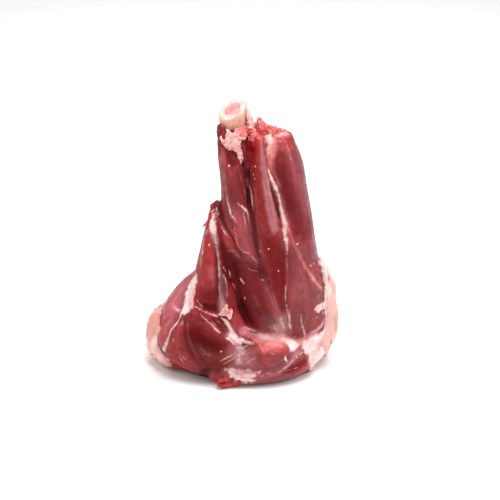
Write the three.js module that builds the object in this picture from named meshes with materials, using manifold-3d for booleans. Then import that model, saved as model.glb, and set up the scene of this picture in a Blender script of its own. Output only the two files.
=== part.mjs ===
// A raw lamb shank, standing on the face where it was cut from the leg. The shin bone
// runs through it, from the sawn end at the top to the cut face below, with its marrow
// inside. Bellies of muscle lie along the bone and fold into a broad foot, and a cover
// of fat wraps the back of that foot.
// Millimetres, +Z up, +X to the right of the front view, +Y to the back. The origin is
// the middle of the underside.

import * as THREE from "three";
import { mergeVertices } from "three/addons/utils/BufferGeometryUtils.js";
import Module from "manifold-3d";

const wasm = await Module();
wasm.setup();

// ---------------------------------------------------------------- driving dimensions

const GAP = 0.3; // between two pieces that touch

// The saw cut across the top of the bone.
const SAW_HEIGHT = 148; // where it crosses the bone's axis
const SAW_PITCH = 0.5; // radians, falling to the front
const SAW_ROLL = 0.12; // radians, rising to the right
const MARROW_SHARE = 0.46; // of the bone's width at every height
const MARROW_SINK = 0.3; // below the sawn rim, and above the cut face

// The facets of the flesh.
const FACET_ROUND = 4.2; // length of one round a belly
const FACET_ALONG = 6; // and along it
const SIDES_LEAST = 10;
const SIDES_MOST = 24;
const CAP_RINGS = 3; // in the rounded end of a belly
const SQUARENESS = 2.2; // 2 makes a section an ellipse, and more makes it boxier

const FRONT = [0, -1, 0];
const BACK = [0, 1, 0];
const UP = [0, 0, 1];

// A belly is a list of stations from one end to the other, each
// [x, y, z, half its width, half its depth]. The width is square to the side it faces.
// blunt is how far each end bulges, as a share of the half width there.
const BONE = {
  // broadest from the front left to the back right, at the sawn end most of all
  stations: [
    [-4.3, 4, 166, 9.2, 6.4],
    [-3.8, 4, 140, 8.6, 6],
    [1, 5, 110, 7.6, 6.4],
    [5, 5, 70, 8.4, 7.6],
    [8, 4, 35, 10.5, 9.5],
    [9, 3, -6, 13, 12],
  ],
  face: [-1, 1, 0],
  along: 12,
};

const MUSCLES = {
  // the large belly on the right, cut across at the top
  calf: {
    stations: [
      [20, 1, 133, 9, 12],
      [22.5, 0, 120, 11.5, 16],
      [25.3, -1, 98, 12.8, 18],
      [27.3, -3, 72, 15, 20],
      [29, -5, 48, 17.7, 22],
      [28, -4, 26, 20, 22],
      [26, 0, 5, 19, 22],
    ],
    blunt: [0.35, 0.4],
    square: 2.4,
  },
  // between the calf and the central groove
  deepFlexor: {
    stations: [
      [10, -3, 134, 4.5, 7],
      [11, -8, 118, 6.3, 10],
      [14.4, -11, 96, 8.2, 12],
      [18, -14, 70, 7.8, 12],
      [21.5, -18, 48, 5.5, 9],
      [25, -21, 30, 3.5, 6],
    ],
    blunt: [0.5, 1],
  },
  // from the left of the bone's end down into the central groove
  shin: {
    stations: [
      [-9, 0, 140.5, 3.2, 4.5],
      [-8, -3, 130, 4.6, 7],
      [-4.2, -7, 116, 6.8, 10],
      [-2, -9, 96, 8.2, 12],
      [2, -12, 79, 7.5, 11],
      [8, -14, 64, 5, 9],
      [11, -15, 52, 3, 6],
    ],
    blunt: [0.7, 1],
  },
  lowerShin: {
    stations: [
      [-12, -5, 96, 3, 5],
      [-7.5, -10, 80, 7, 9],
      [1, -14, 64, 9.5, 11],
      [8, -17, 48, 11.5, 12],
      [14, -19, 33, 12, 11],
      [19, -19, 22, 9, 9],
    ],
  },
  sideStrap: {
    stations: [
      [-5, 6, 128, 5, 8],
      [-3.2, 7, 108, 6.8, 9],
      [-3.2, 8, 84, 8.3, 11],
      [-8, 8, 60, 12, 14],
      [-14, 6, 40, 14, 16],
    ],
    blunt: [0.4, 1],
  },
  // all round the bone, down to the cut face
  core: {
    stations: [
      [5, 4, 128, 9, 7],
      [8, 4, 108, 12, 10],
      [11, 4, 80, 16, 16],
      [12, 3, 50, 24, 20],
      [8, 2, 25, 34, 26],
      [4, 1, 6, 40, 28],
      [3, 1, -4, 41, 28],
    ],
    blunt: [0.4, 0.3],
    along: 9,
  },
  // the two bellies at the back
  heelInner: {
    stations: [
      [0, 15, 124, 5.5, 6],
      [0, 16, 106, 9, 9],
      [1, 17, 82, 12, 12],
      [-2, 16, 54, 16, 16],
      [-6, 12, 28, 22, 22],
      [-8, 8, 6, 26, 24],
    ],
    blunt: [0.4, 0.3],
  },
  heelOuter: {
    stations: [
      [15, 13, 131, 7, 7],
      [18, 14, 110, 10, 10],
      [22, 14, 82, 14, 14],
      [24, 13, 54, 18, 18],
      [20, 10, 28, 24, 24],
      [18, 8, 6, 26, 24],
    ],
    blunt: [0.4, 0.3],
  },
  // the pointed flap at the left, in two strips
  flapBelly: {
    stations: [
      [-15, -9, 95, 2, 2.5],
      [-16, -13, 84, 4, 5.5],
      [-17.3, -16, 70, 6, 8],
      [-18.3, -17, 56, 8, 10],
      [-18.5, -17, 42, 10, 11],
      [-18, -16, 28, 10, 11],
    ],
  },
  flapStrip: {
    stations: [
      [-13.5, -9, 96, 2, 2.5],
      [-11.8, -14, 82, 3.8, 5],
      [-10, -18, 68, 4.5, 6],
      [-7.5, -20, 52, 6, 7],
      [-4.5, -22, 38, 8, 8],
      [0, -23, 26, 8, 8],
    ],
  },
  // the bulge on the left flank
  outerThigh: {
    stations: [
      [-15.5, 3, 54, 7, 11],
      [-24.5, 2, 42, 10.5, 16],
      [-31.5, 0, 29, 13.5, 19],
      [-35, -1, 17, 12.5, 21],
      [-33, 0, 6, 12, 19],
    ],
    blunt: [0.9, 0.4],
  },
  // the fold across the front of the foot, in two rolls
  frontBelly: {
    stations: [
      [-38, -9, 11.5, 10.5, 10],
      [-31, -15, 18.5, 17.5, 14],
      [-18, -19.5, 20.5, 19.2, 15.5],
      [-6, -22.5, 15.5, 14.8, 13.5],
      [3, -23, 11, 9.5, 10],
    ],
    along: 4.5,
  },
  frontRoll: {
    stations: [
      [-13, -27, 7, 7, 6],
      [-3, -28, 10, 10, 9.5],
      [12, -26, 12, 12.5, 12],
      [27, -20, 13, 13, 12.5],
      [40, -6, 13.5, 11, 11],
    ],
  },
  footSaddle: {
    stations: [
      [-6, -18, 18, 10, 10],
      [10, -19, 19, 12, 11],
      [26, -15, 19, 13, 12],
      [36, -8, 18, 11, 11],
    ],
  },
  // the scrap that lies on the table in front of the rolls
  frontTip: {
    stations: [
      [-4, -31, 4, 5, 6],
      [-10.5, -36, 3.5, 3, 3],
    ],
  },
  // sinew and fat round the bone's end
  boneCollar: {
    stations: [
      [-2, -1, 114, 7, 6],
      [-3, -2, 128, 7.5, 7],
      [-3, -2, 137, 6, 5.5],
    ],
    blunt: [1, 0.6],
  },
  boneStrip: {
    stations: [
      [4.5, 2, 124, 4.5, 4],
      [5.6, 3, 135, 3, 3.4],
      [5.2, 4, 143.5, 2, 2.4],
    ],
  },
  sinewPeak: {
    stations: [
      [10, 3, 124, 8, 7],
      [10.5, 3, 134, 5, 4],
      [10.2, 3, 143, 1.5, 1.5],
    ],
  },
  sinewRidge: {
    stations: [
      [3, 5, 130, 5, 5],
      [12, 5, 133, 5, 5],
      [21, 5, 134, 4, 4],
    ],
    face: UP,
  },
};

const FAT = {
  // the band round the back of the foot, from the left front to the right front
  band: {
    stations: [
      [-42, -13, 11, 6, 8.5],
      [-47, 0, 15, 7.8, 15],
      [-41, 18, 14, 9, 15],
      [-26, 29, 17, 9.5, 19],
      [-10, 32.5, 22, 10, 26],
      [6, 33, 23, 10, 26],
      [26, 28, 29, 10, 33],
      [41, 12, 27, 10, 31.5],
      [45.5, -4, 20, 9, 21.5],
      [38, -15, 13.5, 6.6, 11],
    ],
    face: UP,
    square: 2.15,
    along: 6,
  },
  // tongues of it that run up the back
  innerTongue: {
    stations: [
      [-5, 29, 30, 15, 6],
      [-4, 29.5, 44, 13, 5.4],
      [-1, 28.5, 57, 9, 4.4],
      [3, 27, 68, 4, 2.6],
    ],
    face: BACK,
    square: 2.2,
    along: 7,
  },
  outerTongue: {
    stations: [
      [27, 26.5, 46, 18, 6],
      [28, 26, 60, 13, 5.6],
      [25, 27, 72, 9, 4.6],
      [24, 26, 84, 4, 2.8],
    ],
    face: BACK,
    square: 2.2,
    along: 7,
  },
};

// ---------------------------------------------------------------- shape tools

// Catmull-Rom between the numbers of a list. t runs from 0 to 1 over the whole list.
function between(values, t) {
  const place = t * (values.length - 1);
  const i = Math.min(Math.floor(place), values.length - 2);
  const f = place - i;
  const last = values.length - 1;
  const [a, b, c, d] = [i - 1, i, i + 1, i + 2].map((k) => values[Math.max(0, Math.min(last, k))]);
  return b + 0.5 * f * (c - a + f * (2 * a - 5 * b + 4 * c - d + f * (3 * (b - c) + d - a)));
}

// One ring of a belly's section: a superellipse round a point of its line.
function ringAt(centre, tangent, facing, halfWidth, halfDepth, sides, square) {
  const side = new THREE.Vector3().crossVectors(tangent, facing).normalize();
  const deep = new THREE.Vector3().crossVectors(side, tangent).normalize();
  const spread = (wave) => Math.sign(wave) * Math.abs(wave) ** (2 / square);
  return Array.from({ length: sides }, (_, j) => {
    const turn = (2 * Math.PI * j) / sides;
    return centre
      .clone()
      .addScaledVector(side, spread(Math.cos(turn)) * halfWidth)
      .addScaledVector(deep, spread(Math.sin(turn)) * halfDepth);
  });
}

// The closed skin over a run of rings, with a point at each end.
function skin(rings, start, finish) {
  const sides = rings[0].length;
  const points = [start, ...rings.flat(), finish];
  const at = (i, j) => 1 + i * sides + (j % sides);
  const last = rings.length - 1;
  const index = [];
  for (let j = 0; j < sides; j++) {
    index.push(0, at(0, j), at(0, j + 1));
    for (let i = 0; i < last; i++) {
      index.push(at(i, j), at(i + 1, j), at(i, j + 1));
      index.push(at(i, j + 1), at(i + 1, j), at(i + 1, j + 1));
    }
    index.push(at(last, j + 1), at(last, j), points.length - 1);
  }
  const geometry = new THREE.BufferGeometry().setFromPoints(points);
  geometry.setIndex(index);
  return geometry;
}

// A belly of flesh, fat or bone as a closed geometry, swollen all round by grow.
function belly(form, grow = 0) {
  const { stations, face = FRONT, square = SQUARENESS, blunt = [1, 1], along = FACET_ALONG } = form;
  const line = new THREE.CatmullRomCurve3(
    stations.map(([x, y, z]) => new THREE.Vector3(x, y, z)), false, "centripetal",
  );
  const widths = stations.map((s) => s[3]);
  const depths = stations.map((s) => s[4]);
  const facing = new THREE.Vector3(...face);
  const stoutest = Math.max(...stations.map((s) => s[3] + s[4]));
  const round = Math.round((Math.PI * stoutest) / FACET_ROUND / 2) * 2;
  const sides = Math.max(SIDES_LEAST, Math.min(SIDES_MOST, round));
  const bulge = [0, stations.length - 1].map(
    (i, end) => (blunt[end] * (widths[i] + depths[i])) / 2 + grow,
  );

  const ring = (t, shift, share) => {
    const tangent = line.getTangent(t);
    const centre = line.getPoint(t).addScaledVector(tangent, shift);
    const halfWidth = between(widths, t) * share + grow;
    const halfDepth = between(depths, t) * share + grow;
    return ringAt(centre, tangent, facing, halfWidth, halfDepth, sides, square);
  };
  const capAngles = Array.from(
    { length: CAP_RINGS }, (_, k) => (Math.PI / 2) * ((k + 1) / (CAP_RINGS + 1)),
  );
  const steps = Math.max(4, Math.round(line.getLength() / along));
  const rings = [
    ...capAngles.map((angle) => ring(0, -bulge[0] * Math.cos(angle), Math.sin(angle))),
    ...Array.from({ length: steps + 1 }, (_, i) => ring(i / steps, 0, 1)),
    ...capAngles.reverse().map((angle) => ring(1, bulge[1] * Math.cos(angle), Math.sin(angle))),
  ];
  const start = line.getPoint(0).addScaledVector(line.getTangent(0), -bulge[0]);
  const finish = line.getPoint(1).addScaledVector(line.getTangent(1), bulge[1]);
  return skin(rings, start, finish);
}

// A closed geometry as a solid that can be joined and cut.
function solid(geometry) {
  const bare = geometry.clone();
  bare.deleteAttribute("normal");
  bare.deleteAttribute("uv");
  const merged = mergeVertices(bare);
  return new wasm.Manifold(new wasm.Mesh({
    numProp: 3,
    vertProperties: merged.attributes.position.array,
    triVerts: new Uint32Array(merged.index.array),
  }));
}

const joined = (forms, grow = 0) =>
  Object.values(forms).map((form) => solid(belly(form, grow))).reduce((a, b) => a.add(b));

// The largest body of a solid, without the scraps that a cut leaves.
const main = (made) => made.decompose().sort((a, b) => b.volume() - a.volume())[0];

function geometryOf(made) {
  const { numProp, numVert, vertProperties, triVerts } = made.getMesh();
  const positions = new Float32Array(numVert * 3);
  for (let i = 0; i < numVert; i++) {
    positions.set(vertProperties.subarray(i * numProp, i * numProp + 3), i * 3);
  }
  const geometry = new THREE.BufferGeometry();
  geometry.setAttribute("position", new THREE.BufferAttribute(positions, 3));
  geometry.setIndex(new THREE.BufferAttribute(triVerts, 1));
  geometry.computeVertexNormals();
  return geometry;
}

// ---------------------------------------------------------------- the pieces

// The table that the shank stands on, and the side of the saw that is cut away.
const TABLE = new THREE.BoxGeometry(300, 300, 60).translate(0, 0, -30);
const SAWN_OFF = new THREE.BoxGeometry(80, 80, 60).translate(0, 0, 30);
const below = (rise = 0) => solid(TABLE.clone().translate(0, 0, rise));
const above = (drop = 0) =>
  solid(
    SAWN_OFF.clone()
      .rotateX(SAW_PITCH)
      .rotateY(-SAW_ROLL)
      .translate(BONE.stations[1][0], BONE.stations[1][1], SAW_HEIGHT - drop),
  );

const MARROW = {
  ...BONE,
  stations: BONE.stations.map(
    ([x, y, z, width, depth]) => [x, y, z, width * MARROW_SHARE, depth * MARROW_SHARE],
  ),
};

const PIECES = {
  meat: {
    made: main(joined(MUSCLES).subtract(below()).subtract(solid(belly(BONE, GAP)))),
    look: { color: 0x862c2c, roughness: 0.35 },
  },
  fat_cover: {
    made: main(joined(FAT).subtract(joined(MUSCLES, GAP)).subtract(below())),
    look: { color: 0xf0cabc, roughness: 0.45 },
  },
  shin_bone: {
    made: solid(belly(BONE)).subtract(solid(belly(MARROW, GAP))).subtract(above()).subtract(below()),
    look: { color: 0xf3e6d8, roughness: 0.5 },
  },
  marrow: {
    made: solid(belly(MARROW)).subtract(above(MARROW_SINK)).subtract(below(MARROW_SINK)),
    look: { color: 0xe39c98, roughness: 0.4 },
  },
};

const shank = new THREE.Group();
for (const [name, { made, look }] of Object.entries(PIECES)) {
  const mesh = new THREE.Mesh(
    geometryOf(made), new THREE.MeshStandardMaterial({ ...look, metalness: 0 }),
  );
  mesh.name = name;
  shank.add(mesh);
}

// The middle of the underside goes to the origin.
const middle = new THREE.Box3().setFromObject(shank).getCenter(new THREE.Vector3());
shank.position.set(-middle.x, -middle.y, 0);

export default shank;
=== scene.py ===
"""A raw lamb shank, stood on the face where it was cut from the leg, in a plain bright studio."""

import math

import bmesh
import bpy
import numpy as np
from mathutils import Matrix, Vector, geometry, noise
from mathutils.bvhtree import BVHTree


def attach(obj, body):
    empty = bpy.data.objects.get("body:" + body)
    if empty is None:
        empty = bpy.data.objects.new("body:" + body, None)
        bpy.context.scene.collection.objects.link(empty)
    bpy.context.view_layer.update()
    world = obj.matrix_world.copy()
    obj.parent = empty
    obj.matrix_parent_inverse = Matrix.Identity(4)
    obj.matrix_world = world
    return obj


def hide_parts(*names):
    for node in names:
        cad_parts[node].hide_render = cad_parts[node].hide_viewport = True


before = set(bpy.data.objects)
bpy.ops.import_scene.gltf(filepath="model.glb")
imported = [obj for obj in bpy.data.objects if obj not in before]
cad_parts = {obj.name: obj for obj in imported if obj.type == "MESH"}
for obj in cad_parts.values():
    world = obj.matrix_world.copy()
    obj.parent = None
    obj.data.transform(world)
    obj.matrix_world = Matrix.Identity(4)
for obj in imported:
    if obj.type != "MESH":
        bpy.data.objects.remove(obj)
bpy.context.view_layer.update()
scene = bpy.context.scene

# ------------------------------------------------------------------ camera
# The shank is seen from the front and a little above, through a long lens, so that one
# pixel of a picture 500 pixels wide spans 0.56 mm at the meat.

MM = 0.001
PICTURE = 500
PIXEL = 0.56 * MM
LENS = 100 * MM
SENSOR = 36 * MM
VIEW_RISE = math.radians(22)
LOOKED_AT = Vector((5.27, -2.2, 68.25)) * MM

towards_eye = Vector((0, -math.cos(VIEW_RISE), math.sin(VIEW_RISE)))
eye = LOOKED_AT + towards_eye * (PIXEL * PICTURE / SENSOR * LENS)
eye_turn = (-towards_eye).to_track_quat("-Z", "Y")
camera_data = bpy.data.cameras.new("camera")
camera_data.lens = LENS / MM
camera_data.sensor_width = SENSOR / MM
camera_data.clip_start = 50 * MM
camera = bpy.data.objects.new("camera", camera_data)
camera.location = eye
camera.rotation_euler = eye_turn.to_euler()
scene.collection.objects.link(camera)
scene.camera = camera

# ------------------------------------------------------------------ the meat
# All the lean: long muscles down the bone that fold into a broad foot. Each is wrapped in a
# thin grey film, with pale sinew and fat in the seams between them. It is one piece, carved
# over the part's own shape, and marked with every seam, film and fold that shows.

GRAIN = 0.785 * MM  # size of the carved mesh's faces
DARK_SHARE = (0.84, 0.76, 0.77)  # share of the shown red, green and blue that dark wet lean has of its own
PALE_SHARE = 0.94  # the same for pale tissue
UNDER_FAT = (234, 196, 192)  # what thin fat leaves of the lean under it
PART_SHIFT = np.array([-0.05, -2.19, 0])  # mm, from the lines below to the finished part
BONE_TOP = np.array([-4, 4, 150])
BONE_FOOT = np.array([9, 3, 0])
SQUARENESS = 2.2  # of a muscle's section: 2 is an ellipse, and more is squarer
TOO_FAR = 99.0  # more muscle widths than any point is from one
BATCH = 16000  # points that are measured against a muscle at a time

# The middle line of each muscle, mm: x, y, z, half its width, half its depth.
MUSCLES = {
    "calf": [(20, 1, 133, 9, 12), (22.5, 0, 120, 11.5, 16), (25.3, -1, 98, 12.8, 18),
             (27.3, -3, 72, 15, 20), (29, -5, 48, 17.7, 22), (28, -4, 26, 20, 22),
             (26, 0, 5, 19, 22)],
    "deep_flexor": [(10, -3, 134, 4.5, 7), (11, -8, 118, 6.3, 10), (14.4, -11, 96, 8.2, 12),
                    (18, -14, 70, 7.8, 12), (21.5, -18, 48, 5.5, 9), (25, -21, 30, 3.5, 6)],
    "shin": [(-9, 0, 140.5, 3.2, 4.5), (-8, -3, 130, 4.6, 7), (-4.2, -7, 116, 6.8, 10),
             (-2, -9, 96, 8.2, 12), (2, -12, 79, 7.5, 11), (8, -14, 64, 5, 9),
             (11, -15, 52, 3, 6)],
    "lower_shin": [(-12, -5, 96, 3, 5), (-7.5, -10, 80, 7, 9), (1, -14, 64, 9.5, 11),
                   (8, -17, 48, 11.5, 12), (14, -19, 33, 12, 11), (19, -19, 22, 9, 9)],
    "side_strap": [(-5, 6, 128, 5, 8), (-3.2, 7, 108, 6.8, 9), (-3.2, 8, 84, 8.3, 11),
                   (-8, 8, 60, 12, 14), (-14, 6, 40, 14, 16)],
    "core": [(5, 4, 128, 9, 7), (8, 4, 108, 12, 10), (11, 4, 80, 16, 16), (12, 3, 50, 24, 20),
             (8, 2, 25, 34, 26), (4, 1, 6, 40, 28), (3, 1, -4, 41, 28)],
    "heel_inner": [(0, 15, 124, 5.5, 6), (0, 16, 106, 9, 9), (1, 17, 82, 12, 12),
                   (-2, 16, 54, 16, 16), (-6, 12, 28, 22, 22), (-8, 8, 6, 26, 24)],
    "heel_outer": [(15, 13, 131, 7, 7), (18, 14, 110, 10, 10), (22, 14, 82, 14, 14),
                   (24, 13, 54, 18, 18), (20, 10, 28, 24, 24), (18, 8, 6, 26, 24)],
    "flap_belly": [(-15, -9, 95, 2, 2.5), (-16, -13, 84, 4, 5.5), (-17.3, -16, 70, 6, 8),
                   (-18.3, -17, 56, 8, 10), (-18.5, -17, 42, 10, 11), (-18, -16, 28, 10, 11)],
    "flap_strip": [(-13.5, -9, 96, 2, 2.5), (-11.8, -14, 82, 3.8, 5), (-10, -18, 68, 4.5, 6),
                   (-7.5, -20, 52, 6, 7), (-4.5, -22, 38, 8, 8), (0, -23, 26, 8, 8)],
    "outer_thigh": [(-15.5, 3, 54, 7, 11), (-24.5, 2, 42, 10.5, 16), (-31.5, 0, 29, 13.5, 19),
                    (-35, -1, 17, 12.5, 21), (-33, 0, 6, 12, 19)],
    "front_belly": [(-38, -9, 11.5, 10.5, 10), (-31, -15, 18.5, 17.5, 14),
                    (-18, -19.5, 20.5, 19.2, 15.5), (-6, -22.5, 15.5, 14.8, 13.5),
                    (3, -23, 11, 9.5, 10)],
    "front_roll": [(-13, -27, 7, 7, 6), (-3, -28, 10, 10, 9.5), (12, -26, 12, 12.5, 12),
                   (27, -20, 13, 13, 12.5), (40, -6, 13.5, 11, 11)],
    "foot_saddle": [(-6, -18, 18, 10, 10), (10, -19, 19, 12, 11), (26, -15, 19, 13, 12),
                    (36, -8, 18, 11, 11)],
    "front_tip": [(-4, -31, 4, 5, 6), (-10.5, -36, 3.5, 3, 3)],
    "bone_collar": [(-2, -1, 114, 7, 6), (-3, -2, 128, 7.5, 7), (-3, -2, 137, 6, 5.5)],
    "bone_strip": [(4.5, 2, 124, 4.5, 4), (5.6, 3, 135, 3, 3.4), (5.2, 4, 143.5, 2, 2.4)],
    "sinew_peak": [(10, 3, 124, 8, 7), (10.5, 3, 134, 5, 4), (10.2, 3, 143, 1.5, 1.5)],
    "sinew_ridge": [(3, 5, 130, 5, 5), (12, 5, 133, 5, 5), (21, 5, 134, 4, 4)],
}

# The colour of each muscle as a screen shows it, then how coarse its grain is, mm, and how
# much grey film covers it.
FINISH = {
    "calf": ((128, 40, 44), 0.05, 0.22), "deep_flexor": ((142, 52, 53), 0.07, 0.25),
    "shin": ((134, 47, 50), 0.2, 0.1), "lower_shin": ((124, 42, 45), 0.12, 0.1),
    "side_strap": ((138, 48, 50), 0.12, 0.3), "core": ((128, 42, 44), 0.12, 0.2),
    "heel_inner": ((140, 50, 53), 0.14, 0.35), "heel_outer": ((134, 46, 50), 0.1, 0.28),
    "flap_belly": ((164, 46, 49), 0.12, 0.0), "flap_strip": ((132, 40, 43), 0.14, 0.0),
    "outer_thigh": ((168, 70, 76), 0.08, 0.3), "front_belly": ((134, 50, 52), 0.16, 0.1),
    "front_roll": ((150, 72, 76), 0.14, 0.3), "foot_saddle": ((170, 92, 94), 0.1, 0.3),
    "front_tip": ((196, 70, 70), 0.1, 0.0), "bone_collar": ((112, 36, 42), 0.1, 0.0),
    "bone_strip": ((236, 176, 172), 0.1, 0.0), "sinew_peak": ((226, 104, 102), 0.1, 0.0),
    "sinew_ridge": ((212, 92, 92), 0.1, 0.0),
}


def shaded_smooth(mesh):
    mesh.polygons.foreach_set("use_smooth", np.ones(len(mesh.polygons), bool))


def remade(node, name, face, smoothing):
    """An even mesh over the shape of a CAD node, as a new object."""
    made = bpy.data.objects.new(name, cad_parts[node].data.copy())
    scene.collection.objects.link(made)
    shape = bmesh.new()
    shape.from_mesh(made.data)
    bmesh.ops.remove_doubles(shape, verts=shape.verts, dist=0.01 * MM)
    shape.to_mesh(made.data)
    shape.free()
    evened(made, face, smoothing)
    return made


def evened(made, face, smoothing):
    """Gives an object a skin of even faces, softened so many times."""
    remesh = made.modifiers.new("even", "REMESH")
    remesh.mode = "VOXEL"
    remesh.voxel_size = face
    smooth = made.modifiers.new("smooth", "SMOOTH")
    smooth.iterations = smoothing
    smooth.factor = 0.5
    settled = made.evaluated_get(bpy.context.evaluated_depsgraph_get())
    skin_mesh = bpy.data.meshes.new_from_object(settled)
    made.modifiers.clear()
    made.data = skin_mesh
    skin_mesh.materials.clear()
    shaded_smooth(skin_mesh)


def points_of(mesh):
    flat = np.empty(len(mesh.vertices) * 3)
    mesh.vertices.foreach_get("co", flat)
    return flat.reshape(-1, 3)


def normals_of(mesh):
    flat = np.empty(len(mesh.vertices) * 3)
    mesh.vertex_normals.foreach_get("vector", flat)
    return flat.reshape(-1, 3)


def moved(mesh, points):
    """Puts a mesh's points in new places, none of them below the floor."""
    points[:, 2] = np.maximum(points[:, 2], 0)
    mesh.vertices.foreach_set("co", points.ravel())
    mesh.update()


def carry(mesh, name, values):
    """Keeps one value, vector or colour for each point of a mesh, for its material."""
    width = values.shape[1] if values.ndim == 2 else 1
    kind, key = {1: ("FLOAT", "value"), 3: ("FLOAT_VECTOR", "vector"), 4: ("FLOAT_COLOR", "color")}[width]
    kept = mesh.attributes.new(name, kind, "POINT")
    kept.data.foreach_set(key, values.astype(np.float32).ravel())


def tree_of(mesh):
    """A search tree over a mesh's faces."""
    return BVHTree.FromPolygons([v.co[:] for v in mesh.vertices], [list(face.vertices) for face in mesh.polygons])


def gaps_to(tree, points, most):
    """How far each point is from the faces in a tree, up to a most."""
    return np.array([tree.find_nearest(Vector(p), most)[3] or most for p in points.tolist()])


def curve_through(rows, steps):
    """A smooth run of values through rows of numbers, steps to a stretch."""
    rows = np.array(rows, float)
    padded = np.vstack([2 * rows[0] - rows[1], rows, 2 * rows[-1] - rows[-2]])
    t = np.linspace(0, 1, steps, endpoint=False)[:, None]
    run = []
    for a, b, c, d in zip(padded, padded[1:], padded[2:], padded[3:]):
        bend = 2 * a - 5 * b + 4 * c - d + t * (3 * (b - c) + d - a)
        run.append(b + 0.5 * t * (c - a + t * bend))
    return np.vstack(run + [rows[-1:]])


def softly(value, low, high):
    """0 below low and 1 above high, eased between."""
    t = np.clip((value - low) / (high - low), 0, 1)
    return t * t * (3 - 2 * t)


def rough(points, size, seed=0.0):
    """Smooth noise from -1 to 1 over points, with bumps about as wide as size."""
    scaled = np.asarray(points) / size + seed
    return np.array([noise.noise(p) for p in scaled.tolist()])


def light_of(shown):
    """Colours as a screen shows them, 0 to 255, as the linear light that a shader takes."""
    shown = np.clip(np.asarray(shown, float), 0, 255) / 255
    return np.where(shown > 0.04045, ((shown + 0.055) / 1.055) ** 2.4, shown / 12.92)


def sight_line(x, y):
    """The direction from the eye through a point of the picture."""
    across = (x / PICTURE - 0.5) * SENSOR / LENS
    down = (y / PICTURE - 0.5) * SENSOR / LENS
    return (eye_turn @ Vector((across, -down, -1))).normalized()


def in_picture(points):
    """Where points in space fall in the picture, as rows of x and y."""
    turned = (points - np.array(eye)) @ np.array(eye_turn.to_matrix())
    spread = LENS / SENSOR * PICTURE / -turned[:, 2]
    return np.stack([PICTURE / 2 + turned[:, 0] * spread, PICTURE / 2 - turned[:, 1] * spread], axis=1)


meat = remade("meat", "meat_flesh", GRAIN, smoothing=8)
flesh = points_of(meat.data)
outward = normals_of(meat.data)
in_part = flesh / MM - PART_SHIFT

# Which muscle each point lies on, how far along and round it, and how far from a seam.
nearest = np.full(len(flesh), TOO_FAR)
second = np.full(len(flesh), TOO_FAR)
fibre = np.zeros((len(flesh), 3))
thickness_here = np.ones(len(flesh))
lean = np.zeros((len(flesh), 3))
coarse = np.zeros(len(flesh))
filmed = np.zeros(len(flesh))
for number, (name, stations) in enumerate(MUSCLES.items()):
    run = curve_through(stations, 10)
    middle, half_width, half_depth = run[:, :3], run[:, 3], run[:, 4]
    length = np.concatenate([[0], np.cumsum(np.linalg.norm(np.diff(middle, axis=0), axis=1))])
    tangent = np.gradient(middle, axis=0)
    tangent /= np.linalg.norm(tangent, axis=1)[:, None]
    facing = np.array([0, 0, 1.0] if name == "sinew_ridge" else [0, -1.0, 0])
    side = np.cross(tangent, facing)
    side /= np.linalg.norm(side, axis=1)[:, None]
    deep = np.cross(side, tangent)
    # The way from the bone, so that no fibre's start falls where it would show.
    away = middle - (BONE_TOP + (BONE_FOOT - BONE_TOP) * (1 - middle[:, 2:3] / BONE_TOP[2]))
    away -= tangent * np.sum(away * tangent, axis=1)[:, None]
    away /= np.linalg.norm(away, axis=1)[:, None]
    round_it = np.cross(tangent, away)
    mean_half = float(np.mean(half_width + half_depth)) / 2
    for start in range(0, len(flesh), BATCH):
        part = slice(start, start + BATCH)
        to_middle = in_part[part][:, None, :] - middle[None]
        at = np.argmin(np.einsum("ijk,ijk->ij", to_middle, to_middle), axis=1)
        offset = in_part[part] - middle[at]
        past = np.abs(np.sum(offset * tangent[at], axis=1)) / (half_width[at] + half_depth[at]) * 2
        across = np.abs(np.sum(offset * side[at], axis=1)) / half_width[at]
        through = np.abs(np.sum(offset * deep[at], axis=1)) / half_depth[at]
        reach = np.sqrt((across**SQUARENESS + through**SQUARENESS) ** (2 / SQUARENESS) + past**2)
        angle = np.arctan2(np.sum(offset * round_it[at], axis=1), np.sum(offset * away[at], axis=1))
        here = np.stack([length[at], angle * mean_half, np.full(len(at), number * 37.0)], axis=1)
        closer = reach < nearest[part]
        second[part] = np.where(closer, nearest[part], np.minimum(second[part], reach))
        nearest[part] = np.where(closer, reach, nearest[part])
        thickness_here[part][closer] = ((half_width + half_depth) / 2)[at][closer]
        fibre[part][closer] = here[closer]
        lean[part][closer] = FINISH[name][0]
        coarse[part][closer] = FINISH[name][1]
        filmed[part][closer] = FINISH[name][2]
seam_away = (second - nearest) * thickness_here  # about mm

# Where each point falls in the picture, and how much of it shows there.
OFF_SKIN = 0.3 * MM  # where the test for what hides a point starts
SIGHT_REACH = 300 * MM
HIDDEN_SHARE = 0.1  # how much a mark keeps of its strength where other meat hides it
skin_tree = tree_of(meat.data)
place = in_picture(flesh)
to_eye = np.array(eye) - flesh
to_eye /= np.linalg.norm(to_eye, axis=1)[:, None]
seen = softly(np.sum(outward * to_eye, axis=1), -0.05, 0.2)
for i in np.nonzero(seen > 0)[0]:
    start = Vector(flesh[i]) + Vector(outward[i]) * OFF_SKIN
    if skin_tree.ray_cast(start, Vector(to_eye[i]), SIGHT_REACH)[0] is not None:
        seen[i] *= HIDDEN_SHARE

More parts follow.
